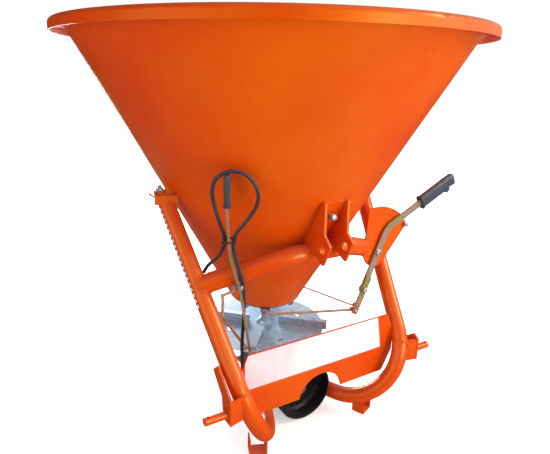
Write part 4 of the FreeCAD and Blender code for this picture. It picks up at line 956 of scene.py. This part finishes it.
class SPREADER_OT_fasteners(bpy.types.Operator):
    """Fit hexagon bolts, nuts and washers in place of the plain pins"""

    bl_idname = "spreader.fasteners"
    bl_label = "Fasteners"

    def execute(self, context):
        self.hopper_bolts()
        self.dose_lever_bolts()
        self.scale_bolts()
        self.shutoff_bolts()
        self.vane_bolts()
        return {"FINISHED"}

    def hopper_bolts(self):
        """Bolts of the two hopper seats and of the top link bracket."""
        low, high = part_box("hopper_bolts")
        web_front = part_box("top_link_bracket")[0].y + WEB_DEPTH
        bm = bmesh.new()
        for side in SIDES:
            seat = (side * (high.x - PIN_HEAD_RADIUS), SEAT_Y, low.z + PIN_HEAD_HEIGHT)
            bolt(bm, seat, UP, size=0.012, grip=0.0122, tail=0.007, turn=0.4)
        bolt(bm, (WEB_BOLT_X, web_front, WEB_BOLT_Z), (0.0, 1.0, -0.05), size=0.010,
             grip=0.011, tail=0.002, turn=0.2)
        keep(bm, "hopper_seat_bolts", "frame", "zinc_bolts",
             stands_for=["hopper_bolts"])

    def dose_lever_bolts(self):
        """Bolt that joins the two bars, the lower rod's bolt and the upper rod's hook."""
        front, behind = (corner.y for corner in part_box("dose_lever_bars"))
        pivot = PIVOTS["dose_lever"]
        low = PIVOTS["lower_rod_swing"]
        hook = PIVOTS["upper_rod_swing"]
        down = Vector((low.x - pivot.x, 0.0, low.z - pivot.z)).normalized()
        joint = pivot + down * BAR_JOINT_DROP
        bm = bmesh.new()
        bolt(bm, (joint.x, front, joint.z), BACK, size=0.010, grip=behind - front, tail=0.002,
             turn=0.5)
        bolt(bm, (low.x, front, low.z), BACK, size=0.0064, grip=0.0205, tail=0.002, turn=0.1)
        wire_rod(bm, [Vector((hook.x, front - 0.004, hook.z)),
                      Vector((hook.x, front + 0.016, hook.z))], 0.0019)
        for lean in (-0.35, 0.45):
            wire_rod(bm, [Vector((hook.x, front - 0.003, hook.z)),
                          Vector((hook.x + lean * 0.006, front - 0.0045, hook.z + 0.004)),
                          Vector((hook.x + lean * 0.014, front - 0.0050, hook.z + 0.010))],
                     0.0009, sides=8)
        keep(bm, "dose_lever_pins", "dose_lever", "zinc_bolts",
             stands_for=["dose_lever_bolts"])

    def scale_bolts(self):
        """The lever's pivot bolt and the stop of the dosing scale."""
        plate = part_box("scale_plate")[1].y
        pivot = PIVOTS["dose_lever"]
        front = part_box("dose_lever_bars")[0].y + 0.006
        bm = bmesh.new()
        bolt(bm, (pivot.x, front, pivot.z), BACK, size=0.012, grip=plate - front, tail=0.001,
             turn=0.25)
        keep(bm, "lever_pivot", "frame", "zinc_bolts",
             stands_for=["lever_pivot_bolt"])
        low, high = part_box("scale_stop_bolt")
        middle = (low + high) / 2.0
        front = low.y + 0.005
        bm = bmesh.new()
        bolt(bm, (middle.x, front, middle.z), BACK, size=0.008, grip=plate - front,
             tail=0.0015, turn=0.15)
        keep(bm, "scale_stop", "frame", "zinc_bolts",
             stands_for=["scale_stop_bolt"])

    def shutoff_bolts(self):
        """Pivot bolt of the shut-off lever and the pin of its arm."""
        foot = SHUTOFF_PIVOT - SHUTOFF_AXIS * SHUTOFF_FOOT_IN - SHUTOFF_RISE * SHUTOFF_FOOT_DROP
        pin = foot + (SHUTOFF_PIVOT - foot).normalized() * 0.008
        under_head = SHUTOFF_AXIS * 0.0035
        bm = bmesh.new()
        bolt(bm, SHUTOFF_PIVOT - under_head, SHUTOFF_AXIS, size=0.008, grip=0.0155, tail=0.002,
             turn=0.3)
        bolt(bm, pin - under_head, SHUTOFF_AXIS, size=0.0075, grip=0.0145, tail=0.001)
        keep(bm, "shutoff_lever_bolts", "frame", "zinc_bolts",
             stands_for=["shutoff_bolts"])

    def vane_bolts(self):
        """Two screws through the flange of each vane, with their nuts under the disc."""
        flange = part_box("disc_vanes")[0].z + 0.002
        bm = bmesh.new()
        for k in range(4):
            degrees = VANE_TURN + 90.0 * k
            along = Vector((*round_spot(1.0, degrees), 0.0))
            for reach in VANE_SCREW_REACH:
                spot = along * reach + UP.cross(along) * VANE_FLANGE_MIDDLE
                cap_screw(bm, (spot.x, spot.y, flange), UP, 0.007, turn=math.radians(degrees))
                hexagon(bm, at((spot.x, spot.y, flange - 0.0085), UP), across=0.0115,
                        height=0.0050)
        keep(bm, "vane_bolts", "disc", "zinc_bolts")


class SPREADER_OT_grips(bpy.types.Operator):
    """Mould the hand grips of both levers with their collars and finger stops"""

    bl_idname = "spreader.grips"
    bl_label = "Grips"

    def execute(self, context):
        pivot = PIVOTS["dose_lever"]
        low = PIVOTS["lower_rod_swing"]
        rise = math.atan2(pivot.x - low.x, pivot.z - low.z)
        lean = rise + BAR_TURN
        heading = Vector((math.sin(lean), 0.0, math.cos(lean)))
        middle = sum(corner.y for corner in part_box("dose_lever_grip")) / 2.0
        bend = Vector((pivot.x + BAR_RISE * math.sin(rise), middle,
                       pivot.z + BAR_RISE * math.cos(rise)))
        start = bend + heading * DOSE_GRIP_START
        bm = bmesh.new()
        self.sleeve(bm, at(start, heading, BACK.cross(heading)), length=0.162, width=0.042,
                    thick=0.023)
        keep(bm, "dose_grip", "dose_lever", "grip_moulding", sharp=50.0,
             stands_for=["dose_lever_grip"])
        start = (SHUTOFF_PIVOT + SHUTOFF_AXIS * SHUTOFF_GRIP_OUT
                 + SHUTOFF_RISE * SHUTOFF_GRIP_RISE)
        bm = bmesh.new()
        self.sleeve(bm, at(start, SHUTOFF_RISE, SHUTOFF_DEPTH), length=0.088, width=0.029,
                    thick=0.0165)
        keep(bm, "shutoff_hand_grip", "frame", "grip_moulding", sharp=50.0,
             stands_for=["shutoff_grip"])
        return {"FINISHED"}

    def sleeve(self, bm, place, length, width, thick):
        """Flat oval sleeve: collar, ribbed palm, finger stop and a narrower rounded end.

        Each row of the outline is (run, width, thickness, shift), in shares of the whole.
        """
        rows = [(0.0, 1.04, 1.10, 0.0), (0.004, 1.12, 1.22, 0.0), (0.022, 1.12, 1.22, 0.0),
                (0.027, 1.01, 1.03, 0.0)]
        ribs = 9
        for k in range(ribs):
            start = 0.05 + 0.56 * k / ribs
            rows += [(start, 0.985, 0.97, 0.0), (start + 0.018, 1.0, 1.0, 0.0),
                     (start + 0.044, 1.0, 1.0, 0.0), (start + 0.058, 0.985, 0.97, 0.0)]
        rows += [(0.655, 1.02, 1.0, 0.01), (0.700, 1.18, 1.02, 0.09), (0.745, 1.22, 1.02, 0.11),
                 (0.778, 1.16, 0.98, 0.08), (0.800, 0.94, 0.94, -0.02), (0.860, 0.90, 0.94, -0.03),
                 (0.950, 0.98, 0.96, 0.0), (0.985, 0.88, 0.80, 0.0), (1.0, 0.64, 0.48, 0.0)]
        part = bmesh.new()
        loops = [self.oval(part, run * length, width * wide, thick * deep, shift * width)
                 for run, wide, deep, shift in rows]
        for one, other in zip(loops, loops[1:]):
            bmesh.ops.bridge_loops(part, edges=one + other)
        for end in (loops[0], loops[-1]):
            bmesh.ops.contextual_create(part, geom=end)
        add_part(bm, part, place)

    def oval(self, part, height, width, thick, shift):
        """Add the edges of a rounded rectangle at a height."""
        flat = bmesh.new()
        bmesh.ops.create_circle(flat, cap_ends=True, segments=4, radius=math.sqrt(0.5),
                                matrix=Matrix.Rotation(math.pi / 4.0, 4, "Z"))
        bmesh.ops.transform(flat, verts=flat.verts, matrix=Matrix.Diagonal((width, thick, 1, 1)))
        bmesh.ops.bevel(flat, geom=list(flat.verts), offset=thick * 0.34, segments=5,
                        affect="VERTICES", profile=0.5, material=-1)
        bmesh.ops.translate(flat, vec=(shift, 0.0, height), verts=flat.verts)
        bmesh.ops.delete(flat, geom=list(flat.faces), context="FACES_ONLY")
        mesh = bpy.data.meshes.new("loop")
        flat.to_mesh(mesh)
        flat.free()
        before = len(part.edges)
        part.from_mesh(mesh)
        bpy.data.meshes.remove(mesh)
        part.edges.ensure_lookup_table()
        return [part.edges[k] for k in range(before, len(part.edges))]


class SPREADER_OT_plates(bpy.types.Operator):
    """Cut the sharp-nosed ears of the top link and trim the right hitch bracket"""

    bl_idname = "spreader.plates"
    bl_label = "Plates"

    def execute(self, context):
        self.ears()
        self.right_bracket()
        return {"FINISHED"}

    def ears(self):
        """Keep the bracket's web between two new ears, each an outline with the link's bore."""
        bm = merged("top_link_bracket")
        for side in SIDES:
            bmesh.ops.bisect_plane(bm, geom=bm.verts[:] + bm.edges[:] + bm.faces[:],
                                   plane_co=(side * (EAR_INNER - EAR_LAP), 0, 0),
                                   plane_no=(side, 0, 0), clear_outer=True)
        for side in SIDES:
            self.ear(bm, side)
        keep(bm, "top_link_ears", "frame", "frame_enamel", sharp=30.0,
             stands_for=["top_link_bracket"])

    def ear(self, bm, side):
        """Rounded plate with its bore, cut from one outline."""
        part = bmesh.new()
        face = part.faces.new([part.verts.new((0.0, EAR_BORE.y + y, EAR_BORE.z + z))
                               for y, z in EAR_OUTLINE])
        bmesh.ops.bevel(part, geom=face.verts[:EAR_ROUNDED], offset=0.0045, segments=4,
                        affect="VERTICES", profile=0.5, material=-1)
        rim = list(part.edges)
        bmesh.ops.delete(part, geom=list(part.faces), context="FACES_ONLY")
        hole = bmesh.ops.create_circle(part, segments=40, radius=EAR_BORE_RADIUS,
                                       matrix=at(EAR_BORE, (1, 0, 0)))
        members = set(hole["verts"])
        rim += [edge for edge in part.edges if set(edge.verts) <= members]
        bmesh.ops.triangle_fill(part, edges=rim, use_beauty=True, use_dissolve=False)
        grown = bmesh.ops.extrude_face_region(part, geom=list(part.faces))
        bmesh.ops.translate(part, vec=(side * (EAR_THICK + 2.0 * EAR_LAP), 0, 0),
                            verts=moved_verts(grown))
        edges = [edge for edge in part.edges if 1.0 < edge.calc_face_angle(0.0) < 2.0]
        bmesh.ops.bevel(part, geom=edges, offset=0.0007, segments=2, affect="EDGES",
                        profile=0.5, material=-1)
        add_part(bm, part, Matrix.Translation((side * (EAR_INNER - 2.0 * EAR_LAP), 0, 0)))

    def right_bracket(self):
        """Take the strap above the pin off, with a cut that falls to the front."""
        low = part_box("pin_bracket_right")[0]
        bm = merged("pin_bracket_right")
        cut = bmesh.ops.bisect_plane(bm, geom=bm.verts[:] + bm.edges[:] + bm.faces[:],
                                     plane_co=(0, low.y + 0.034, low.z + 0.074),
                                     plane_no=(0, 0.60, 0.80), clear_outer=True)
        rim = [item for item in cut["geom_cut"] if isinstance(item, bmesh.types.BMEdge)]
        bmesh.ops.holes_fill(bm, edges=rim, sides=0)
        keep(bm, "right_pin_bracket", "frame", "frame_enamel", sharp=30.0,
             stands_for=["pin_bracket_right"])


class SPREADER_OT_gearbox_trim(bpy.types.Operator):
    """Add the covers, screws, plugs and carrier bolts of the gearbox"""

    bl_idname = "spreader.gearbox_trim"
    bl_label = "Gearbox trim"

    def execute(self, context):
        self.covers()
        self.screws()
        return {"FINISHED"}

    def covers(self):
        """Round covers: two collars round the shafts, two side caps and a back cap."""
        half, top, axle = self.places()
        bm = bmesh.new()
        lathe(bm, at((0.0, -half, axle), FRONT),
              [(0.0375, 0.0), (0.052, 0.0), (0.052, 0.006), (0.050, 0.008),
               (0.0375, 0.008), (0.0375, 0.0)], COVER_SIDES)
        lathe(bm, at((0, 0, top), UP),
              [(0.0295, 0.0), (0.047, 0.0), (0.047, 0.005), (0.045, 0.007),
               (0.0295, 0.007), (0.0295, 0.0)], COVER_SIDES)
        for side in SIDES:
            lathe(bm, at((side * half, CAP_Y, axle + CAP_RISE), (side, 0.0, 0.0)),
                  [(0, 0), (0.040, 0), (0.040, 0.004), (0.038, 0.0062), (0.020, 0.0065),
                   (0.017, 0.0100), (0, 0.0105)], COVER_SIDES)
        lathe(bm, at((0.0, half, axle), BACK),
              [(0, 0), (0.038, 0), (0.038, 0.006), (0.036, 0.008), (0, 0.0085)], COVER_SIDES)
        keep(bm, "gearbox_covers", "frame", "gearbox_casting")

    def screws(self):
        """Screws of the covers, of the carrier's corners, and the oil plug on top."""
        half, top, axle = self.places()
        carrier_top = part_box("gearbox_carrier")[1].z
        bm = bmesh.new()
        for k in range(6):
            x, z = round_spot(0.045, 60.0 * k + 30.0)
            cap_screw(bm, (x, -half - 0.008, axle + z), FRONT, COVER_SCREW,
                      math.radians(60.0 * k + 30.0))
        for k in range(4):
            degrees = 90.0 * k + 45.0
            x, y = round_spot(0.0385, degrees)
            cap_screw(bm, (x, y, top + 0.007), UP, COVER_SCREW, math.radians(degrees))
            y, z = round_spot(0.032, degrees)
            for side in SIDES:
                cap_screw(bm, (side * (half + 0.0058), CAP_Y + y, axle + CAP_RISE + z),
                          (side, 0, 0), COVER_SCREW)
            x, z = round_spot(0.030, degrees)
            cap_screw(bm, (x, half + 0.0082, axle + z), BACK, COVER_SCREW)
        for x in SIDES:
            for y in SIDES:
                cap_screw(bm, (x * (half + 0.012), y * (half - 0.013), carrier_top), UP,
                          CARRIER_SCREW, 0.3 * x)
        cap_screw(bm, (0.047, 0.044, top), UP, OIL_PLUG)
        keep(bm, "gearbox_screws", "frame", "zinc_bolts")

    def places(self):
        """Half the gearbox's width, the height of its top face and of the drive shaft."""
        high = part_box("gearbox")[1]
        return high.x, high.z - 0.010, PIVOTS["drive_spin"].z


class SPREADER_OT_labels(bpy.types.Operator):
    """Stick on the blank label of the front plate and the striped tape of the left tube"""

    bl_idname = "spreader.labels"
    bl_label = "Labels"

    def execute(self, context):
        film = context.scene.spreader_sizes.film
        self.front_label(film)
        self.tube_tape(film)
        return {"FINISHED"}

    def front_label(self, film):
        """Five-cornered sheet up to the plate's top edge."""
        low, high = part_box("front_plate")
        top = high.z - 0.0006
        corners = [(-0.2660, 0.2440), (0.2330, 0.2425), (0.2125, top), (-0.2575, top),
                   (-0.2665, 0.3270)]
        bm = bmesh.new()
        face = bm.faces.new([bm.verts.new((x, low.y - film, z)) for x, z in corners])
        bmesh.ops.bevel(bm, geom=list(face.verts), offset=0.0015, segments=3, affect="VERTICES",
                        profile=0.5, material=-1)
        grown = bmesh.ops.extrude_face_region(bm, geom=list(bm.faces))
        bmesh.ops.translate(bm, vec=(0, film * 0.9, 0), verts=moved_verts(grown))
        keep(bm, "front_label", "frame", "blank_label")

    def tube_tape(self, film):
        """Strip bent round the outer side of the tube's straight leg."""
        mirror = Matrix.Diagonal((-1.0, 1.0, 1.0))
        start = mirror @ TUBE_TOP
        along = (mirror @ TUBE_CORNER - start).normalized()
        outward = (TAPE_FACING - along * TAPE_FACING.dot(along)).normalized()
        around = along.cross(outward)
        spine = start + along * TAPE_START
        arc = [math.radians(-27.0 + 6.0 * k) for k in range(10)]
        bm = bmesh.new()
        verts = [bm.verts.new(spine + (outward * math.cos(angle) + around * math.sin(angle))
                              * (TUBE_RADIUS + film)) for angle in arc]
        edges = [bm.edges.new(pair) for pair in zip(verts, verts[1:])]
        grown = bmesh.ops.extrude_edge_only(bm, edges=edges)
        bmesh.ops.translate(bm, vec=along * TAPE_LENGTH, verts=moved_verts(grown))
        bmesh.ops.recalc_face_normals(bm, faces=bm.faces)
        bmesh.ops.solidify(bm, geom=list(bm.faces), thickness=film * 0.9)
        keep(bm, "tube_tape", "frame", "striped_tape")


class SPREADER_OT_scale_marks(bpy.types.Operator):
    """Punch the row of marks along the rim of the dosing scale"""

    bl_idname = "spreader.scale_marks"
    bl_label = "Scale marks"

    def execute(self, context):
        pivot = PIVOTS["dose_lever"]
        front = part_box("scale_plate")[0].y
        count = context.scene.spreader_sizes.marks
        bm = bmesh.new()
        for k in range(count):
            x, z = round_spot(MARK_REACH, MARK_FIRST - MARK_SWEEP * k / (count - 1))
            lathe(bm, at((pivot.x + x, front, pivot.z + z), FRONT),
                  [(0, 0.0001), (0.0011, 0.0001), (0.0014, 0.0003), (0.0018, 0.0002),
                   (0.0020, 0)], 14)
        keep(bm, "scale_marks", "frame", "black_moulding")
        return {"FINISHED"}


class SPREADER_OT_stage(bpy.types.Operator):
    """Set up the floor, the soft lights and the camera"""

    bl_idname = "spreader.stage"
    bl_label = "Stage"

    def execute(self, context):
        scene = context.scene
        scene.view_settings.view_transform = "Standard"
        self.floor(scene)
        self.sky(scene)
        for lamp in LAMPS:
            self.lamp(scene, *lamp)
        self.camera(scene)
        return {"FINISHED"}

    def floor(self, scene):
        """Wide pale floor under the feet."""
        studio_floor("studio_floor", (0.93, 0.93, 0.93))
        bm = bmesh.new()
        bmesh.ops.create_grid(bm, x_segments=8, y_segments=8, size=FLOOR_HALF)
        mesh = bpy.data.meshes.new("floor")
        bm.to_mesh(mesh)
        bm.free()
        mesh.materials.append(bpy.data.materials["studio_floor"])
        floor = bpy.data.objects.new("floor", mesh)
        scene.collection.objects.link(floor)

    def sky(self, scene):
        """Soft light from the front, dimmer from behind; what the camera sees stays white."""
        world = bpy.data.worlds.new("studio")
        scene.world = world
        world.use_nodes = True
        tree = world.node_tree
        heading = wire(tree, "TexCoord").outputs["Generated"]
        toward = wire(tree, "VectorMath", {0: heading, 1: SKY_HEADING},
                      operation="DOT_PRODUCT").outputs["Value"]
        glow = spread(tree, toward, -0.7, 0.8, SKY_BEHIND, SKY_FRONT)
        seen = wire(tree, "LightPath").outputs["Is Camera Ray"]
        rest = reckon(tree, "MULTIPLY", glow, reckon(tree, "SUBTRACT", 1.0, seen))
        feed(tree, tree.nodes["Background"], {"Color": (1.0, 1.0, 1.0, 1.0),
                                              "Strength": reckon(tree, "ADD", rest, seen)})

    def lamp(self, scene, name, place, aim, size, power, tint):
        """Round soft lamp at a place, turned to its aim."""
        light = bpy.data.lights.new(name, "AREA")
        light.shape = "DISK"
        light.size = size
        light.energy = power
        light.color = tint
        holder = bpy.data.objects.new(name, light)
        scene.collection.objects.link(holder)
        holder.location = place
        holder.rotation_euler = (Vector(aim) - Vector(place)).to_track_quat("-Z", "Y").to_euler()

    def camera(self, scene):
        """Camera in front on the left, just under the rim's height, looking down."""
        lens = bpy.data.cameras.new("camera")
        lens.sensor_width = 36.0
        lens.lens = CAMERA_LENS
        lens.shift_x, lens.shift_y = CAMERA_SHIFT
        lens.clip_end = 60.0
        holder = bpy.data.objects.new("camera", lens)
        scene.collection.objects.link(holder)
        level = Vector((math.cos(CAMERA_YAW), -math.sin(CAMERA_YAW), 0.0))
        ahead = UP.cross(level) * math.cos(CAMERA_PITCH) + UP * math.sin(CAMERA_PITCH)
        over = level.cross(ahead)
        right = level * math.cos(CAMERA_ROLL) + over * math.sin(CAMERA_ROLL)
        above = over * math.cos(CAMERA_ROLL) - level * math.sin(CAMERA_ROLL)
        turn = Matrix((right, above, -ahead)).transposed().to_4x4()
        holder.matrix_world = Matrix.Translation(CAMERA_PLACE) @ turn
        scene.camera = holder


class SPREADER_PT_panel(bpy.types.Panel):
    """Sizes, colours and steps of the spreader"""

    bl_idname = "SPREADER_PT_panel"
    bl_label = "Cone Spreader"
    bl_space_type = "VIEW_3D"
    bl_region_type = "UI"
    bl_category = "Spreader"

    def draw(self, context):
        for settings in (context.scene.spreader_finishes, context.scene.spreader_sizes):
            for key in settings.__annotations__:
                self.layout.prop(settings, key)
        for step in STEPS:
            self.layout.operator(step.bl_idname)


# --- tables ---------------------------------------------------------------------------------

# Finish of each CAD node; the rest of the steelwork is painted
NODE_FINISHES = {
    "hopper": "hopper_enamel", "agitator": "galvanised_sheet", "spreading_disc": "disc_sheet",
    "disc_vanes": "vane_sheet", "metering_plate_lower": "galvanised_sheet",
    "metering_plate_upper": "galvanised_sheet", "metering_clips": "galvanised_sheet",
    "dose_lever_bars": "lever_plating", "shutoff_lever": "lever_plating",
    "dose_rod": "rod_plating", "thin_rod": "copper_rod", "shutoff_arm": "rod_plating",
    "shutoff_link": "copper_rod", "hose_port": "zinc_bolts", "dose_lever_grip": "grip_moulding",
    "shutoff_grip": "grip_moulding", "pto_guard": "guard_moulding", "gearbox": "gearbox_casting",
    "pto_shaft": "turned_steel", "hose_tie": "black_moulding", "hose_coupler": "fitting_steel",
}
for node_name in frame["nodes"]:
    NODE_FINISHES.setdefault(node_name, "frame_enamel")

# Seams: a node and the node that it is welded to
WELDED = (
    ("front_plate", "side_tube_left"), ("front_plate", "side_tube_right"),
    ("pin_bracket_left", "side_tube_left"), ("pin_bracket_right", "side_tube_right"),
    ("front_feet", "side_tube_left"), ("front_feet", "side_tube_right"),
    ("cross_tube", "side_tube_left"), ("cross_tube", "side_tube_right"),
    ("tube_caps", "side_tube_left"), ("tube_caps", "side_tube_right"),
    ("top_link_bracket", "cross_tube"), ("hopper_lugs", "hopper"),
    ("scale_plate", "cross_tube"),
    ("shutoff_bracket", "cross_tube"), ("hose_port_tab", "side_tube_left"),
    ("rear_foot", "side_tube_left"), ("rear_foot", "side_tube_right"),
)

# Name, place, aim, diameter, power in watts and tint of each lamp
LAMPS = (
    ("key_light", (2.6, -2.2, 2.4), (0.0, -0.1, 0.6), 1.4, 76.0, (1.0, 0.96, 0.86)),
    ("front_light", (0.9, -3.3, 0.9), (0.0, -0.1, 0.5), 1.6, 50.0, (1.0, 0.98, 0.95)),
    ("fill_light", (-3.0, -0.9, 1.0), (0.0, -0.1, 0.6), 2.6, 36.0, (1.0, 0.80, 0.76)),
    ("rear_light", (0.5, 2.6, 0.9), (0.0, 0.0, 0.25), 1.6, 84.0, (0.88, 0.95, 1.0)),
)

STEPS = (
    SPREADER_OT_finishes, SPREADER_OT_hose, SPREADER_OT_welds, SPREADER_OT_hopper_trim,
    SPREADER_OT_fasteners, SPREADER_OT_grips, SPREADER_OT_plates, SPREADER_OT_gearbox_trim,
    SPREADER_OT_labels, SPREADER_OT_scale_marks, SPREADER_OT_stage,
)
CLASSES = (SpreaderFinishes, SpreaderSizes, *STEPS, SPREADER_PT_panel)


def register():
    for item in CLASSES:
        bpy.utils.register_class(item)
    bpy.types.Scene.spreader_finishes = PointerProperty(type=SpreaderFinishes)
    bpy.types.Scene.spreader_sizes = PointerProperty(type=SpreaderSizes)


def unregister():
    del bpy.types.Scene.spreader_sizes
    del bpy.types.Scene.spreader_finishes
    for item in reversed(CLASSES):
        bpy.utils.unregister_class(item)


def main():
    register()
    for step in STEPS:
        group, action = step.bl_idname.split(".")
        getattr(getattr(bpy.ops, group), action)()
    bpy.context.view_layer.update()


if __name__ == "__main__":
    main()
